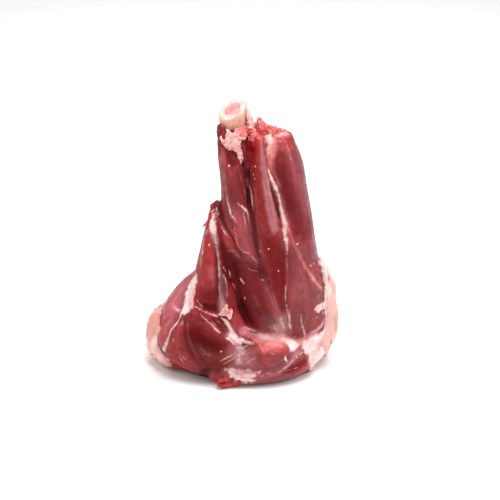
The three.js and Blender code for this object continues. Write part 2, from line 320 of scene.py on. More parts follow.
# The outer skin shows a little film nearly everywhere, and pale sinew where muscles meet.
covers = {cover: np.zeros(len(flesh)) for cover in ("fat", "film", "dark", "shreds", "dull")}
cloudy = rough(flesh, 16 * MM, 11.0)
covers["film"] += filmed * softly(cloudy + 0.5 * rough(flesh, 5 * MM, 3.0), -0.2, 0.7)
lace = softly(rough(flesh, 11 * MM, 8.0) + 0.4 * rough(flesh, 3 * MM, 9.0), -0.1, 0.45)
covers["fat"] += 0.5 * lace * np.exp(-((seam_away / 0.7) ** 2)) * (1 - 0.9 * seen)
open_seams = np.ones(len(flesh))
relief = np.zeros(len(flesh))
bundles = rough(fibre / np.array([16, 2.4, 1]), 1)
threads = rough(fibre / np.array([7, 1.1, 1]), 1, 7.0)


TAPERING = (0.12, 0.12)  # the share of a line that each of its ends takes
BLUNT = (0.01, 0.01)
UNEVEN_LINE = (0.35, 0.25)  # how much a line's width wanders, in long and in short waves


def tapered(along, ends):
    """1 in the middle of a line, easing to 0 over a share of it at each end."""
    return softly(along, -1e-6, ends[0]) * softly(1 - along, -1e-6, ends[1])


def seam(cover, height, rows, ends=TAPERING):
    """Lays a line of fat, film, painted shade or colour on the meat, raised or cut in by height, mm.
    Each row is a point of the picture, half the line's width, mm, and its strength there."""
    hits = []
    for x, y, half_width, strength in curve_through(rows, 8):
        hit = skin_tree.ray_cast(eye, sight_line(x, y))[0]
        if hit is not None:
            hits.append((*hit, half_width * MM, strength))
    run = np.array(hits)
    line = run[:, :3]
    reach = (1 + sum(UNEVEN_LINE)) * run[:, 3].max()
    inside = np.all((flesh > line.min(0) - reach) & (flesh < line.max(0) + reach), axis=1)
    close = np.nonzero(inside)[0]
    gap = np.linalg.norm(flesh[close][:, None] - line[None], axis=2)
    at = gap.argmin(1)
    wander = 1 + UNEVEN_LINE[0] * rough(flesh[close], 3.5 * MM, 14.0)
    wander += UNEVEN_LINE[1] * rough(flesh[close], 1.4 * MM, 15.0)
    near = 1 - gap.min(1) / (run[at, 3] * wander)
    close, near, at, wander = close[near > 0], near[near > 0], at[near > 0], wander[near > 0]
    fade = tapered(at / max(1, len(line) - 1), ends)
    relief[close] += height * softly(near, 0, 1) * fade
    uneven = np.clip(0.3 + 0.7 * wander + 0.35 * threads[close], 0, 1)
    laid(cover, close, run[at, 4] * uneven * softly(near, -0.1, 0.9) * fade)


def within_outline(outline, at):
    """Which places in the picture lie in an outline, and how far each is from its edge, pixels."""
    within = np.zeros(len(at), bool)
    away = np.full(len(at), np.inf)
    for a, b in zip(outline, np.roll(outline, -1, axis=0)):
        crosses = (a[1] > at[:, 1]) != (b[1] > at[:, 1])
        slope = (b[0] - a[0]) / (b[1] - a[1] if b[1] != a[1] else 1e-9)
        within ^= crosses & (at[:, 0] < a[0] + (at[:, 1] - a[1]) * slope)
        along = np.clip(((at - a) @ (b - a)) / max(1e-9, (b - a) @ (b - a)), 0, 1)
        away = np.minimum(away, np.linalg.norm(at - a - along[:, None] * (b - a), axis=1))
    return within, away


def patch(cover, strength, height, feather, outline, frayed=0.6):
    """Lays fat, film, painted shade or colour over an area of the picture, on what shows of the meat
    there. Its edge is feather pixels wide and wanders by frayed pixels."""
    edge = np.array(outline, float)
    inside = np.all((place > edge.min(0) - feather * 2) & (place < edge.max(0) + feather * 2), axis=1)
    close = np.nonzero(inside & (seen > 0))[0]
    within, away = within_outline(edge, place[close])
    depth = np.where(within, away, -away) + 2 * frayed * rough(flesh[close], 2 * MM, 5.0)
    amount = softly(depth, -feather, feather) * seen[close]
    relief[close] += height * amount
    laid(cover, close, strength * amount)


FILM_LOST = {"colour": 0.7, "dark": 0.8}  # the share of the film that goes where these are laid
FAT_LOST = 0.5  # the share of the fat that goes where a colour is laid
FAT_BLEEDS = 0.85  # how strongly thick fat tints the lean under it
DEEP_SHADE = 200  # red, green and blue together: less lies in shade, where nothing gleams
PALE_TISSUE = 400  # more is pale tissue, which closes the seams under it


def laid(cover, where, amount):
    """Adds a cover, or mixes a colour into the lean."""
    coloured = isinstance(cover, tuple)
    if coloured:
        lean[where] += (np.array(cover) - lean[where]) * amount[:, None]
        covers["fat"][where] *= 1 - FAT_LOST * amount
    else:
        covers[cover][where] = np.maximum(covers[cover][where], amount)
    if coloured or cover == "dark":
        covers["film"][where] *= 1 - FILM_LOST["colour" if coloured else "dark"] * amount
    if cover == "dark" or coloured and sum(cover) < DEEP_SHADE:
        covers["dull"][where] = np.maximum(covers["dull"][where], amount)
    if cover == "fat" or coloured and sum(cover) > PALE_TISSUE:
        open_seams[where] = np.minimum(open_seams[where], 1 - amount)
    if cover == "fat":
        lean[where] += (np.array(UNDER_FAT) - lean[where]) * (FAT_BLEEDS * amount[:, None] ** 2)


# The marks, by part of the shank. An area is a cover or a colour as a screen shows it, its
# strength, its height, mm, how soft its edge is, pixels, and its outline in the picture. A line
# is a cover or a colour, its height, mm, and its rows, as patch and seam say. The cover of
# painted shade darkens grooves, creases and hollows, and some areas and lines are painted
# shade or painted highlights.
VEIN = (150, 68, 70)

# The calf, at the right, and the muscles beside it down the front.
CALF_SHADES = {
    # Painted shade down the calf's left side, which faces away from the light.
    "calf_painted_shade_side": ((116, 34, 37), 0.9, 0, 7, [(276, 170), (283, 156), (290, 170), (295, 192), (299, 215),
        (303, 235), (291, 222), (284, 205), (280, 190)]),
    "calf_sheen": ((176, 106, 116), 0.6, 0, 7, [(284, 145), (293, 147), (300, 166), (307, 190), (310, 216),
        (304, 215), (297, 195), (290, 172)]),
    "calf_low": ((156, 80, 82), 0.9, 0, 9, [(290, 240), (309, 242), (316, 262), (321, 285), (324, 308), (317, 326),
        (306, 334), (293, 330), (290, 300), (289, 270)]),
    "calf_foot": ((148, 70, 70), 0.6, 0, 6, [(294, 296), (312, 292), (322, 300), (320, 318), (308, 330),
        (296, 328)]),
    "calf_brow": ((178, 76, 81), 0.75, 0, 4, [(272, 138), (284, 136.6), (293, 141), (296, 150), (284, 151),
        (276, 150)]),
    "calf_cut_end": ((204, 92, 94), 0.9, 0, 2.5, [(264, 128), (270, 128), (280, 131), (290, 132.6), (291, 137),
        (280, 138), (270, 134), (263.6, 137)]),
    "flexor_orange": ((150, 42, 38), 0.9, 0.1, 2.5, [(253.8, 152), (259.4, 150), (260.6, 170), (262.6, 190),
        (266.4, 210), (270, 236), (263, 232), (257, 212), (253.5, 182)]),
    "flexor_mauve": ((180, 114, 120), 0.8, 0.1, 2, [(259, 137), (262.6, 137), (264, 158), (267.4, 172),
        (271.4, 188), (275.6, 208), (278.6, 230), (273, 236), (268.4, 222), (265, 205), (262, 185), (260.4, 160)]),
    "flexor_low": ((128, 28, 29), 0.88, 0, 6, [(262, 236), (276, 236), (284, 258), (286, 290), (281, 308),
        (273, 290), (266, 262)]),
    "shin_red": ((138, 50, 52), 0.8, 0, 5, [(229, 152), (238, 162), (246, 185), (248, 205), (244, 212), (236, 206),
        (229, 190)]),
    "shin_low_rose": ((162, 80, 82), 0.85, 0, 6, [(230, 204), (240, 207), (249, 216), (253, 234), (261, 252),
        (268, 270), (258, 264), (246, 255), (239, 246), (236, 230)]),
    # A patch that is darker and cut in a little.
    "shin_dark_dip": ((92, 18, 24), 0.8, -0.3, 3, [(226, 150), (234, 152), (238, 163), (233, 168), (227, 162)]),
    "strap_veil": ((156, 88, 84), 0.75, 0.1, 1.8, [(220.6, 146), (224.4, 150), (226.4, 172), (229, 196),
        (231.8, 212), (228.6, 210), (224.4, 194), (221.4, 172)]),
    "cleft": ("dark", 0.35, -1.6, 2, [(248.5, 146), (254, 148), (254.4, 156), (253.4, 164), (250.6, 170),
        (248, 164)]),
    "torn_red": ((212, 78, 80), 0.9, 0, 3, [(244, 128), (259, 126), (261, 140), (256, 147), (249, 146),
        (245, 138)]),
    # Blood red in the cleft, made brighter than its own red: painted light in a hollow that the lamps don't reach.
    "cleft_blood_and_painted_light": ((206, 44, 50), 0.85, -0.5, 2.6, [(246.6, 136), (253.4, 135), (254, 147), (252.6, 156),
        (251, 168), (248.4, 168), (247, 150)]),
    "cleft_side": ((160, 32, 36), 0.8, 0, 2.4, [(254, 138), (258.6, 138), (259, 148), (255, 160), (253, 158)]),
    "cleft_wall": ((176, 84, 88), 0.85, 0, 2, [(242.5, 144), (247, 144), (248, 166), (249.4, 182), (246, 186)]),
    # Painted shade on the lower shin beside the deep crevice.
    "lower_shin_painted_shade": ((98, 16, 18), 0.92, 0, 7, [(229, 258), (240, 262), (247, 285), (254, 308), (260, 326),
        (252, 332), (244, 322), (237, 302), (231, 282)]),
    "lower_shin_dull": ((114, 32, 34), 0.8, 0, 8, [(247, 266), (258, 270), (266, 290), (272, 312), (264, 322),
        (256, 308), (250, 288)]),
    "lower_shin_rose": ((154, 72, 74), 0.7, 0, 4, [(258, 272), (266, 276), (274, 294), (280, 312), (274, 318),
        (266, 300)]),
}
CALF_LINES = {
    "film_edge": ("film", 0.15, [(262.6, 139, 1.0, 0.7), (263.8, 156, 0.9, 0.8), (266.6, 171, 1.0, 0.7),
        (270.6, 186, 1.0, 0.5)]),
    "film_strand_1": ("fat", 0.08, [(260.4, 141, 0.6, 0.3), (261.6, 160, 0.7, 0.35), (263.6, 180, 0.8, 0.3),
        (267, 203, 0.8, 0.3), (271, 226, 0.7, 0.2)]),
    "film_strand_2": ("fat", 0.08, [(264.8, 168, 0.7, 0.3), (268, 184, 0.8, 0.35), (271.6, 202, 0.8, 0.3),
        (275, 222, 0.7, 0.25), (277, 236, 0.7, 0.2)]),
    "calf_veil": ((232, 156, 148), 0.2, [(268.6, 135, 4.4, 0.95), (271, 143, 4.6, 0.9), (271.4, 152, 4.0, 0.85),
        (270.4, 161, 3.0, 0.7), (273, 172, 2.0, 0.5), (278, 182, 1.6, 0.4), (281.4, 191, 1.2, 0.3)]),
    "calf_veil_white": ("fat", 0.2, [(265.6, 136.6, 1.4, 0.9), (268.6, 136, 2.0, 0.95), (270, 142, 2.2, 0.7),
        (269, 149, 1.8, 0.5), (267.8, 157, 1.0, 0.4)]),
    "calf_veil_tip": ("fat", 0.3, [(264.6, 138, 0.9, 0.8), (268.4, 135.4, 1.2, 1.0), (273, 133.8, 1.0, 0.7)]),
    "calf_brow_glint": ("fat", 0.2, [(280, 133.6, 0.7, 0.4), (283.6, 134.2, 1.0, 0.85), (287, 134.6, 0.7, 0.5)]),
    "seam_crevice": ("dark", -1.0, [(269.4, 182, 0.9, 0.7), (272.6, 191, 1.2, 1.0), (275.6, 203, 1.3, 1.0),
        (278.2, 212, 1.2, 0.9), (281, 222, 0.9, 0.6)]),
    "seam_glow": ((206, 132, 128), 0.1, [(271, 176, 2.0, 0.5), (277, 190, 2.8, 0.6), (282, 206, 2.8, 0.6),
        (285, 222, 3.6, 0.7), (286.6, 238, 3.2, 0.65), (287.6, 252, 2.0, 0.5)]),
    "main_seam": ("fat", 0.35, [(266.8, 158, 0.6, 0.5), (268.2, 169, 0.8, 0.8), (271, 177.5, 1.2, 0.95),
        (274.8, 186, 1.6, 0.95), (278.2, 195, 1.2, 0.8), (280.2, 205, 1.0, 0.8), (282, 213, 1.4, 0.7),
        (284.3, 222, 2.0, 0.7), (285.4, 232, 1.9, 0.75), (286.6, 242, 1.4, 0.55), (287.2, 256, 0.9, 0.4),
        (287.2, 275, 0.8, 0.35), (285.6, 288, 0.9, 0.5), (285.4, 301, 0.8, 0.4), (288.4, 315, 1.0, 0.5),
        (289.6, 325, 1.3, 0.45)]),
    "main_seam_white": ("fat", 0.1, [(272.6, 180, 0.7, 0.9), (275.6, 187, 1.0, 1.0), (278.6, 194, 0.7, 0.8)]),
    "main_seam_bright": ("fat", 0.1, [(282.8, 224, 0.6, 0.7), (284, 233, 0.9, 0.9), (285, 242, 0.6, 0.6)]),
    "main_seam_red": ((196, 80, 76), 0.15, [(284.6, 242, 1.0, 0.6), (286.4, 258, 1.3, 0.8), (287, 276, 1.2, 0.7),
        (286, 292, 1.0, 0.5)]),
    "second_seam": ((216, 150, 146), 0.2, [(286, 224, 0.9, 0.6), (289.6, 232, 1.1, 0.75), (295, 246.5, 1.3, 0.8),
        (301.4, 259, 1.5, 0.8), (308, 271.6, 1.6, 0.85), (315.6, 284, 1.8, 0.85), (321, 289.4, 2.2, 0.85),
        (326.4, 292.4, 2.4, 0.85)]),
    "edge_fat": ("fat", 0.3, [(317, 259, 0.8, 0.5), (319, 264, 1.2, 0.7), (321.6, 270, 1.4, 0.8),
        (323.4, 278, 1.5, 0.8), (324, 286, 1.5, 0.8), (324, 296, 1.4, 0.7), (324, 304, 1.2, 0.6)]),
    "second_seam_red": ((186, 66, 64), 0.0, [(288, 228, 1.8, 0.5), (294, 243, 2.0, 0.5), (302, 260, 2.0, 0.4),
        (310, 275, 1.6, 0.3)]),
    "vein_1": (VEIN, 0.1, [(293, 238, 1.0, 0.4), (298, 237.8, 1.2, 0.6), (304, 234.6, 1.0, 0.4)]),
    "vein_2": (VEIN, 0.1, [(296, 243, 1.0, 0.4), (304, 242, 1.2, 0.6), (314, 242, 1.0, 0.5)]),
    "vein_3": (VEIN, 0.1, [(290, 287.6, 1.2, 0.6), (297, 285, 1.2, 0.6), (303, 276, 1.0, 0.4)]),
    "vein_4": (VEIN, 0.1, [(289, 275, 1.2, 0.6), (298, 274.6, 1.1, 0.5), (308, 273, 1.0, 0.4)]),
    "vein_5": (VEIN, 0.1, [(289.6, 262.6, 1.2, 0.7), (294, 261, 1.1, 0.6), (298, 260, 1.0, 0.4)]),
    "vein_6": (VEIN, 0.1, [(298, 296, 1.0, 0.4), (294, 303, 1.2, 0.5), (291, 312, 1.2, 0.5)]),
    "vein_7": ("fat", 0.12, [(300.6, 311, 0.7, 0.3), (301.4, 321, 0.8, 0.5), (303.4, 330, 0.9, 0.5),
        (306.4, 339, 1.1, 0.5)]),
    "cleft_line": ("dark", -1.1, [(243, 166, 0.9, 0.6), (246.6, 182, 1.3, 0.85), (248.3, 200, 1.3, 0.8),
        (249.4, 214, 0.9, 0.5), (252, 230, 0.8, 0.5), (256, 246, 0.8, 0.5), (261, 262, 0.8, 0.4)]),
    "cleft_edge": ((174, 92, 84), 0.3, [(252, 178, 0.9, 0.4), (255.6, 200, 1.4, 0.55), (256.6, 222, 1.5, 0.6),
        (260, 244, 1.4, 0.6), (264, 262, 1.2, 0.5)]),
    "fat_strip": ("fat", 0.4, [(248.6, 184, 1.2, 0.7), (250.8, 190, 1.6, 0.72), (252, 198, 1.5, 0.7),
        (253.2, 208, 1.2, 0.75)]),
    "fat_strip_tan": ((200, 128, 116), 0, [(248.6, 184, 1.8, 0.7), (250.8, 190, 2.4, 0.7), (252.2, 198, 2.2, 0.7),
        (254, 210, 2.0, 0.7)]),
    "strip_knot": ((214, 112, 92), 0.3, [(251, 209, 0.9, 0.7), (254.6, 208.8, 1.0, 0.8)]),
    "fascia": ("film", 0.1, [(236, 203, 1.2, 0.5), (244, 208, 2.0, 0.9), (248.4, 214, 2.2, 1.0),
        (251, 228, 1.8, 0.8), (254, 242, 1.5, 0.6), (258, 256, 1.2, 0.5)]),
    "fascia_white": ("fat", 0.25, [(235.6, 201.6, 0.6, 0.5), (240, 205, 0.8, 0.7), (244.4, 208.8, 1.0, 0.75),
        (247.4, 212.6, 1.3, 0.8), (248.6, 219, 0.8, 0.55), (250.8, 229, 0.7, 0.45), (253.6, 241, 0.7, 0.35)]),
    "shin_fibre_1": ("fat", 0.12, [(243.2, 211, 0.6, 0.5), (244.6, 219, 0.7, 0.45), (246, 229, 0.6, 0.3)]),
    "shin_fibre_2": ("fat", 0.15, [(238, 170, 0.6, 0.25), (242, 180, 0.7, 0.35), (245, 193, 0.7, 0.4),
        (246.6, 205, 0.7, 0.4)]),
    "shin_groove_1": ("dark", -0.5, [(235.6, 166, 0.8, 0.4), (240, 180, 0.9, 0.55), (243, 195, 0.8, 0.45)]),
    "shin_groove_2": ("dark", -0.4, [(240, 222, 0.9, 0.3), (246, 236, 1.0, 0.4), (254, 249, 0.9, 0.3)]),
    "shin_groove_3": ("dark", -0.4, [(237, 208, 0.9, 0.3), (244, 222, 0.9, 0.35), (250, 238, 0.9, 0.25)]),
    "shin_ridge_1": ("fat", 0.3, [(240, 248.4, 0.7, 0.35), (244, 251.6, 0.9, 0.5), (249, 254, 0.8, 0.45),
        (255.4, 260.4, 0.8, 0.35), (262, 266.6, 0.7, 0.3)]),
    "left_fascia": ("fat", 0.2, [(223.6, 160, 0.7, 0.2), (225, 180, 0.8, 0.35), (227.4, 200, 0.9, 0.5),
        (229.6, 209, 1.0, 0.6), (231.4, 215.4, 1.0, 0.6), (234.8, 219, 0.9, 0.55), (237.6, 226, 0.8, 0.35)]),
    "left_rim": ("fat", 0.1, [(221, 152, 0.7, 0.3), (221.2, 168, 0.7, 0.35), (220.2, 184, 0.8, 0.3),
        (219.4, 196, 0.7, 0.2)]),
    "red_ridge": ((214, 106, 100), 0.5, [(226, 222, 0.7, 0.4), (230, 228.6, 0.9, 0.6), (235, 233, 1.1, 0.75),
        (236.8, 241, 1.2, 0.85), (238.6, 247, 1.1, 0.7), (244, 251, 0.9, 0.5), (250, 255, 0.8, 0.3)]),
    "red_ridge_flesh": ((188, 66, 64), 0.4, [(224, 217, 1.8, 0.6), (229, 226, 2.4, 0.75), (233.6, 238, 2.2, 0.7),
        (236, 246, 1.6, 0.6)]),
    "red_ridge_groove": ("dark", -1.1, [(222, 217.6, 0.9, 0.7), (226.4, 227.6, 1.2, 0.85),
        (231.4, 236.4, 1.2, 0.85), (235.6, 243.6, 1.0, 0.7)]),
    # A painted highlight along the top edge of the lower shin.
    "lower_shin_painted_highlight": ((206, 126, 122), 0.3, [(226.6, 251.8, 0.8, 0.4), (231, 250.6, 0.9, 0.7), (235, 251.6, 1.1, 0.75),
        (239, 256.4, 1.0, 0.6), (245.6, 263, 0.9, 0.35)]),
    "pale_line": ("fat", 0.1, [(246.7, 267.4, 0.6, 0.3), (252, 270.2, 0.7, 0.4), (262, 271.4, 0.6, 0.3)]),
    "fascia_edge": ((182, 104, 104), 0.2, [(263, 276, 1.0, 0.4), (268, 288, 1.6, 0.6), (274, 302, 1.7, 0.6),
        (279, 315, 1.4, 0.6)]),
    "fascia_fibre": ("fat", 0.1, [(265.5, 274.5, 0.6, 0.3), (271, 288, 0.6, 0.4), (276, 304, 0.7, 0.4),
        (280.3, 318, 0.7, 0.4)]),
    "cross_mark_1": ("fat", 0.1, [(239.6, 278, 0.5, 0.5), (242, 281, 0.6, 0.8), (246, 285.6, 0.5, 0.4)]),
    "smudge_1": ((150, 98, 94), 0.1, [(238.6, 290, 0.7, 0.4), (242, 298, 1.0, 0.5), (246, 306, 0.7, 0.3)]),
    "smudge_2": ((176, 110, 104), 0.1, [(252, 294, 1.2, 0.35), (255.4, 299.6, 1.8, 0.5), (259.6, 307, 1.2, 0.3)]),
    "smudge_3": ("dark", -0.2, [(250, 286, 2.0, 0.3), (254, 300, 2.4, 0.4), (262, 318, 2.0, 0.35)]),
}

# The flap that stands at the left, and the deep crevice on its right.
FLAP_SHADES = {
    # The strip's red, painted lighter than it is: painted light on a roll that lies in shade.
    "strip_roll_painted_light": ((196, 66, 66), 0.9, 0.4, 2.4, [(216, 216), (221, 221), (226, 230), (231, 238), (236, 246),
        (233, 252), (227, 246), (221, 236), (217, 226)]),
    # Painted shade deep in the crevice to the right of the flap.
    "crevice_painted_shade": ((100, 20, 24), 0.97, -0.9, 3, [(226, 250), (231, 254), (236, 262), (240, 278), (242, 298),
        (254, 323), (251, 328), (243, 318), (238, 306), (234.6, 288), (231, 268)]),
    "crevice": ("dark", 0.5, -0.9, 2, [(231.6, 260), (234, 268), (238, 282), (240.6, 299), (251, 323), (250, 326),
        (243, 316), (238, 304), (236, 288), (233, 272)]),
    "flap_red": ((158, 54, 55), 0.9, 0.2, 5, [(206, 236), (213, 238), (217, 262), (219, 286), (216, 296),
        (205, 298), (199, 292), (201, 270), (204, 250)]),
    # Painted shade on the flap's lower part, which faces down, away from the light above.
    "flap_low_painted_shade": ((124, 32, 33), 0.85, 0, 6, [(198, 286), (208, 290), (218, 288), (218, 306), (207, 306),
        (198, 300)]),
    # A painted highlight on the flap's belly.
    "flap_painted_highlight": ((190, 104, 110), 0.6, 0.2, 3, [(206, 267), (212, 266), (215.6, 270), (213, 279), (207, 279)]),
    # Painted shade, near black, in the hollow under the flap's lower edge.
    "flap_hollow_painted_shade": ((88, 8, 10), 0.95, -0.8, 3, [(199, 303), (207, 303), (217, 304), (218.6, 312), (211, 312),
        (203, 308.6)]),
    "flap_strip_red": ((92, 12, 13), 0.92, 0, 3, [(217, 228), (221, 240), (227, 256), (231, 272), (233, 290),
        (227, 288), (222, 270), (219, 250)]),
    "flap_strip_low": ((132, 38, 40), 0.9, 0, 3, [(227, 286), (234, 286), (237, 298), (237, 308), (231, 306),
        (227, 298)]),
    "silver": ((132, 76, 77), 0.9, 0.25, 1.8, [(218.6, 270), (221.6, 271), (225, 280), (227, 292), (225, 300),
        (221, 304), (218.8, 294)]),
    "silver_shade": ((112, 62, 64), 0.7, -0.1, 2, [(221, 278), (224, 280), (225.6, 290), (223, 295), (221, 288)]),
    "silver_foot": ((196, 144, 138), 0.85, 0.2, 2.4, [(218.8, 296), (223, 296), (226, 303), (224, 312), (218, 314),
        (218, 304)]),
    "tan_edge": ((172, 112, 104), 0.8, 0.1, 1.6, [(203, 236), (205.4, 238), (203.6, 254), (201.6, 268), (200, 284),
        (197.6, 286), (198, 270), (200.6, 252)]),
    "tan_edge_dark": ((110, 50, 46), 0.7, -0.1, 1.6, [(199.6, 266), (201, 262), (200.4, 284), (198.6, 286)]),
    "flap_bruise": ((176, 150, 176), 0.7, 0, 1.5, [(204, 230), (208, 229), (208.6, 234), (204.4, 235)]),
}
FLAP_LINES = {
    "stripe_silver": ((158, 102, 104), 0.2, [(212.8, 226, 3.2, 0.8), (214, 234, 3.4, 0.85), (216, 242, 3.0, 0.85),
        (217.4, 250, 2.0, 0.8), (218.6, 259, 1.8, 0.7), (219.4, 268, 2.0, 0.7), (219.8, 280, 1.6, 0.6),
        (220.4, 292, 1.6, 0.6), (221.6, 304, 2.6, 0.8)]),
    "stripe": ("fat", 0.4, [(213.4, 210, 1.0, 0.8), (213, 217, 1.4, 0.85), (212.6, 223, 3.0, 1.0),
        (213, 229, 3.0, 0.85), (214.4, 235, 2.4, 0.5), (216, 242, 2.0, 0.4), (217.2, 250, 1.2, 0.38),
        (218.2, 259, 1.1, 0.45), (219, 267, 1.2, 0.45), (219.6, 276, 0.9, 0.42), (219.8, 288, 0.8, 0.4),
        (220.2, 297, 1.2, 0.45), (221.4, 306, 1.8, 0.55)]),
    "stripe_side": ("fat", 0.2, [(223, 265.6, 0.5, 0.4), (224.6, 269.4, 0.55, 0.5), (226.8, 273, 0.5, 0.3)]),
    "silver_edge": ("fat", 0.1, [(222, 271, 0.7, 0.5), (225.6, 281, 0.8, 0.5), (227.4, 292, 0.8, 0.45),
        (226.4, 300, 0.8, 0.4)]),
    # A painted highlight along the flap strip's ridge.
    "strip_ridge_painted_highlight": ((196, 110, 108), 0.5, [(217.4, 216, 0.8, 0.6), (220.6, 222.6, 1.1, 0.7),
        (224.6, 229.6, 1.4, 0.75), (229, 236, 1.3, 0.7), (233.4, 242, 1.0, 0.5)]),
    "strip_ridge_glint": ("fat", 0.3, [(220.6, 226, 0.6, 0.4), (224, 231, 0.8, 0.75), (227, 235.6, 0.6, 0.4)]),
    "strip_groove": ("dark", -0.9, [(218, 219, 0.8, 0.5), (219.4, 228, 1.0, 0.6), (222, 240, 1.0, 0.45),
        (226, 252, 0.9, 0.35)]),
    "strip_side": ("fat", 0.2, [(228.4, 268.6, 0.5, 0.4), (229.8, 273, 0.6, 0.6), (230.8, 279, 0.5, 0.3)]),
    "belly_crease": ("dark", -0.7, [(212.6, 240, 0.8, 0.4), (215.4, 252, 0.9, 0.55), (217, 268, 0.9, 0.5),
        (217.6, 286, 0.8, 0.4)]),
    "belly_edge": ("fat", 0.2, [(204.4, 234, 0.6, 0.5), (203.4, 246, 0.7, 0.5), (201.6, 260, 0.7, 0.45),
        (199.6, 272, 0.6, 0.35)]),
    "hollow_lip": ("fat", 0.2, [(196, 298, 0.6, 0.4), (199.6, 304, 0.7, 0.5), (204, 308.6, 0.6, 0.45)]),
    "hollow_fold_1": ("dark", -0.5, [(203, 297, 1.0, 0.3), (209, 299.6, 1.2, 0.4), (216, 299, 1.0, 0.3)]),
    "hollow_fold_2": ((150, 46, 48), 0.3, [(202, 300.6, 1.0, 0.4), (209, 303, 1.2, 0.45), (216, 302.6, 1.0, 0.4)]),
    "apex_pale": ((214, 130, 124), 0.4, [(211, 213, 1.4, 0.6), (214, 217, 1.8, 0.75), (213, 222, 1.4, 0.6)]),
    "apex_edge": ("fat", 0.4, [(216, 208, 0.7, 0.7), (217.6, 212.6, 0.8, 0.8), (216.4, 218, 0.7, 0.6)]),
    "apex_cords": ((216, 112, 106), 0.4, [(216.6, 209, 0.6, 0.6), (215.8, 215, 0.8, 0.7), (213.6, 221, 0.6, 0.6)]),
}

# The outer thigh at the left, and the rolled belly in front of it.
THIGH_SHADES = {
    "thigh_rose": ((204, 108, 114), 0.88, 0, 6, [(192, 276), (184, 284), (174, 294), (167, 304), (162, 318),
        (160, 333), (164, 342), (171, 328), (180, 311), (183, 296)]),
    "thigh_mauve": ((178, 118, 134), 0.5, 0, 4, [(188, 284), (184, 292), (181, 304), (178, 304), (180, 292),
        (185, 283)]),
    # A painted highlight on the outer thigh.
    "thigh_painted_highlight": ((240, 158, 172), 0.7, 0.2, 2.5, [(173, 304), (177, 308), (181, 311), (178, 313), (172, 309)]),
    "thigh_low": ((172, 70, 72), 0.7, 0, 5, [(158, 320), (169, 318), (167, 334), (163.4, 345), (158, 338)]),
    "wedge": ("fat", 1.0, 0.4, 1.6, [(197, 274), (193, 279), (189.6, 284), (186.8, 292), (185, 300), (183.6, 306),
        (181.6, 312.6), (184.6, 315), (189, 312), (193, 307.6), (194, 302), (194.6, 294), (195.6, 286),
        (197, 280)]),
    "wedge_lilac": ((206, 150, 164), 0.6, 0, 1.6, [(184.6, 298), (187, 298), (184.6, 306), (182, 309)]),
    "belly_left": ((158, 50, 49), 0.88, 0.2, 6, [(180, 321), (184, 333), (188, 348), (196, 362), (190, 370),
        (172, 368), (164, 360), (166, 348), (172, 334)]),
    # The belly's deep red, darkened in its middle by painted shade.
    "belly_deep_red_and_painted_shade": ((92, 10, 10), 0.94, 0, 7, [(190, 322), (200, 326), (212, 338), (226, 345), (218, 354),
        (204, 350), (194, 344), (187, 334)]),
    "belly_top": ((142, 40, 40), 0.7, 0.2, 4, [(196, 308), (206, 313), (216, 320), (226, 334), (220, 338),
        (208, 328), (198, 318)]),
    "belly_rim": ((126, 38, 32), 0.8, 0, 6, [(190, 354), (206, 360), (222, 358), (232, 353), (226, 367), (212, 370),
        (198, 367)]),
    "crest_fat": ("fat", 0.8, 0.6, 2.2, [(221, 316.6), (227, 319.4), (232.6, 329), (238, 337), (244, 340.6),
        (242, 345), (236.6, 346), (232.6, 340.6), (227.6, 336), (229, 330.4), (226, 323.4)]),
    "crest_fat_shade": ((226, 176, 176), 0.5, 0, 3, [(222, 317), (228, 322), (233, 331), (240, 340), (238, 348),
        (231, 342), (225, 337), (228, 330), (225, 324)]),
    "haze_rose": ((160, 102, 108), 0.9, 0.1, 6, [(231, 341), (240, 343), (250, 347), (256, 356), (254, 367),
        (238, 368), (230, 362), (228, 352)]),
    "haze_white": ("fat", 0.4, 0.1, 4, [(234, 344), (242, 344), (245, 352), (242, 362), (236, 366), (235, 356)]),
    "haze_dull": ((148, 76, 76), 0.75, 0, 2.5, [(245, 347), (252, 348), (260, 357), (262, 366), (254, 364),
        (248, 356)]),
    "tip_joint": ("dark", 0.75, -0.9, 3, [(199, 368), (208, 366), (212, 371), (206, 376), (200, 375)]),
    "tip_red": ((178, 62, 62), 0.95, 0.2, 1.8, [(208, 374), (222, 374), (236, 379), (243, 383), (231, 386),
        (223, 390), (213, 383)]),
    # A painted highlight on the red tip.
    "tip_painted_highlight": ((196, 84, 86), 0.6, 0.2, 2, [(216, 377), (224, 376), (231, 380), (224, 382)]),
}
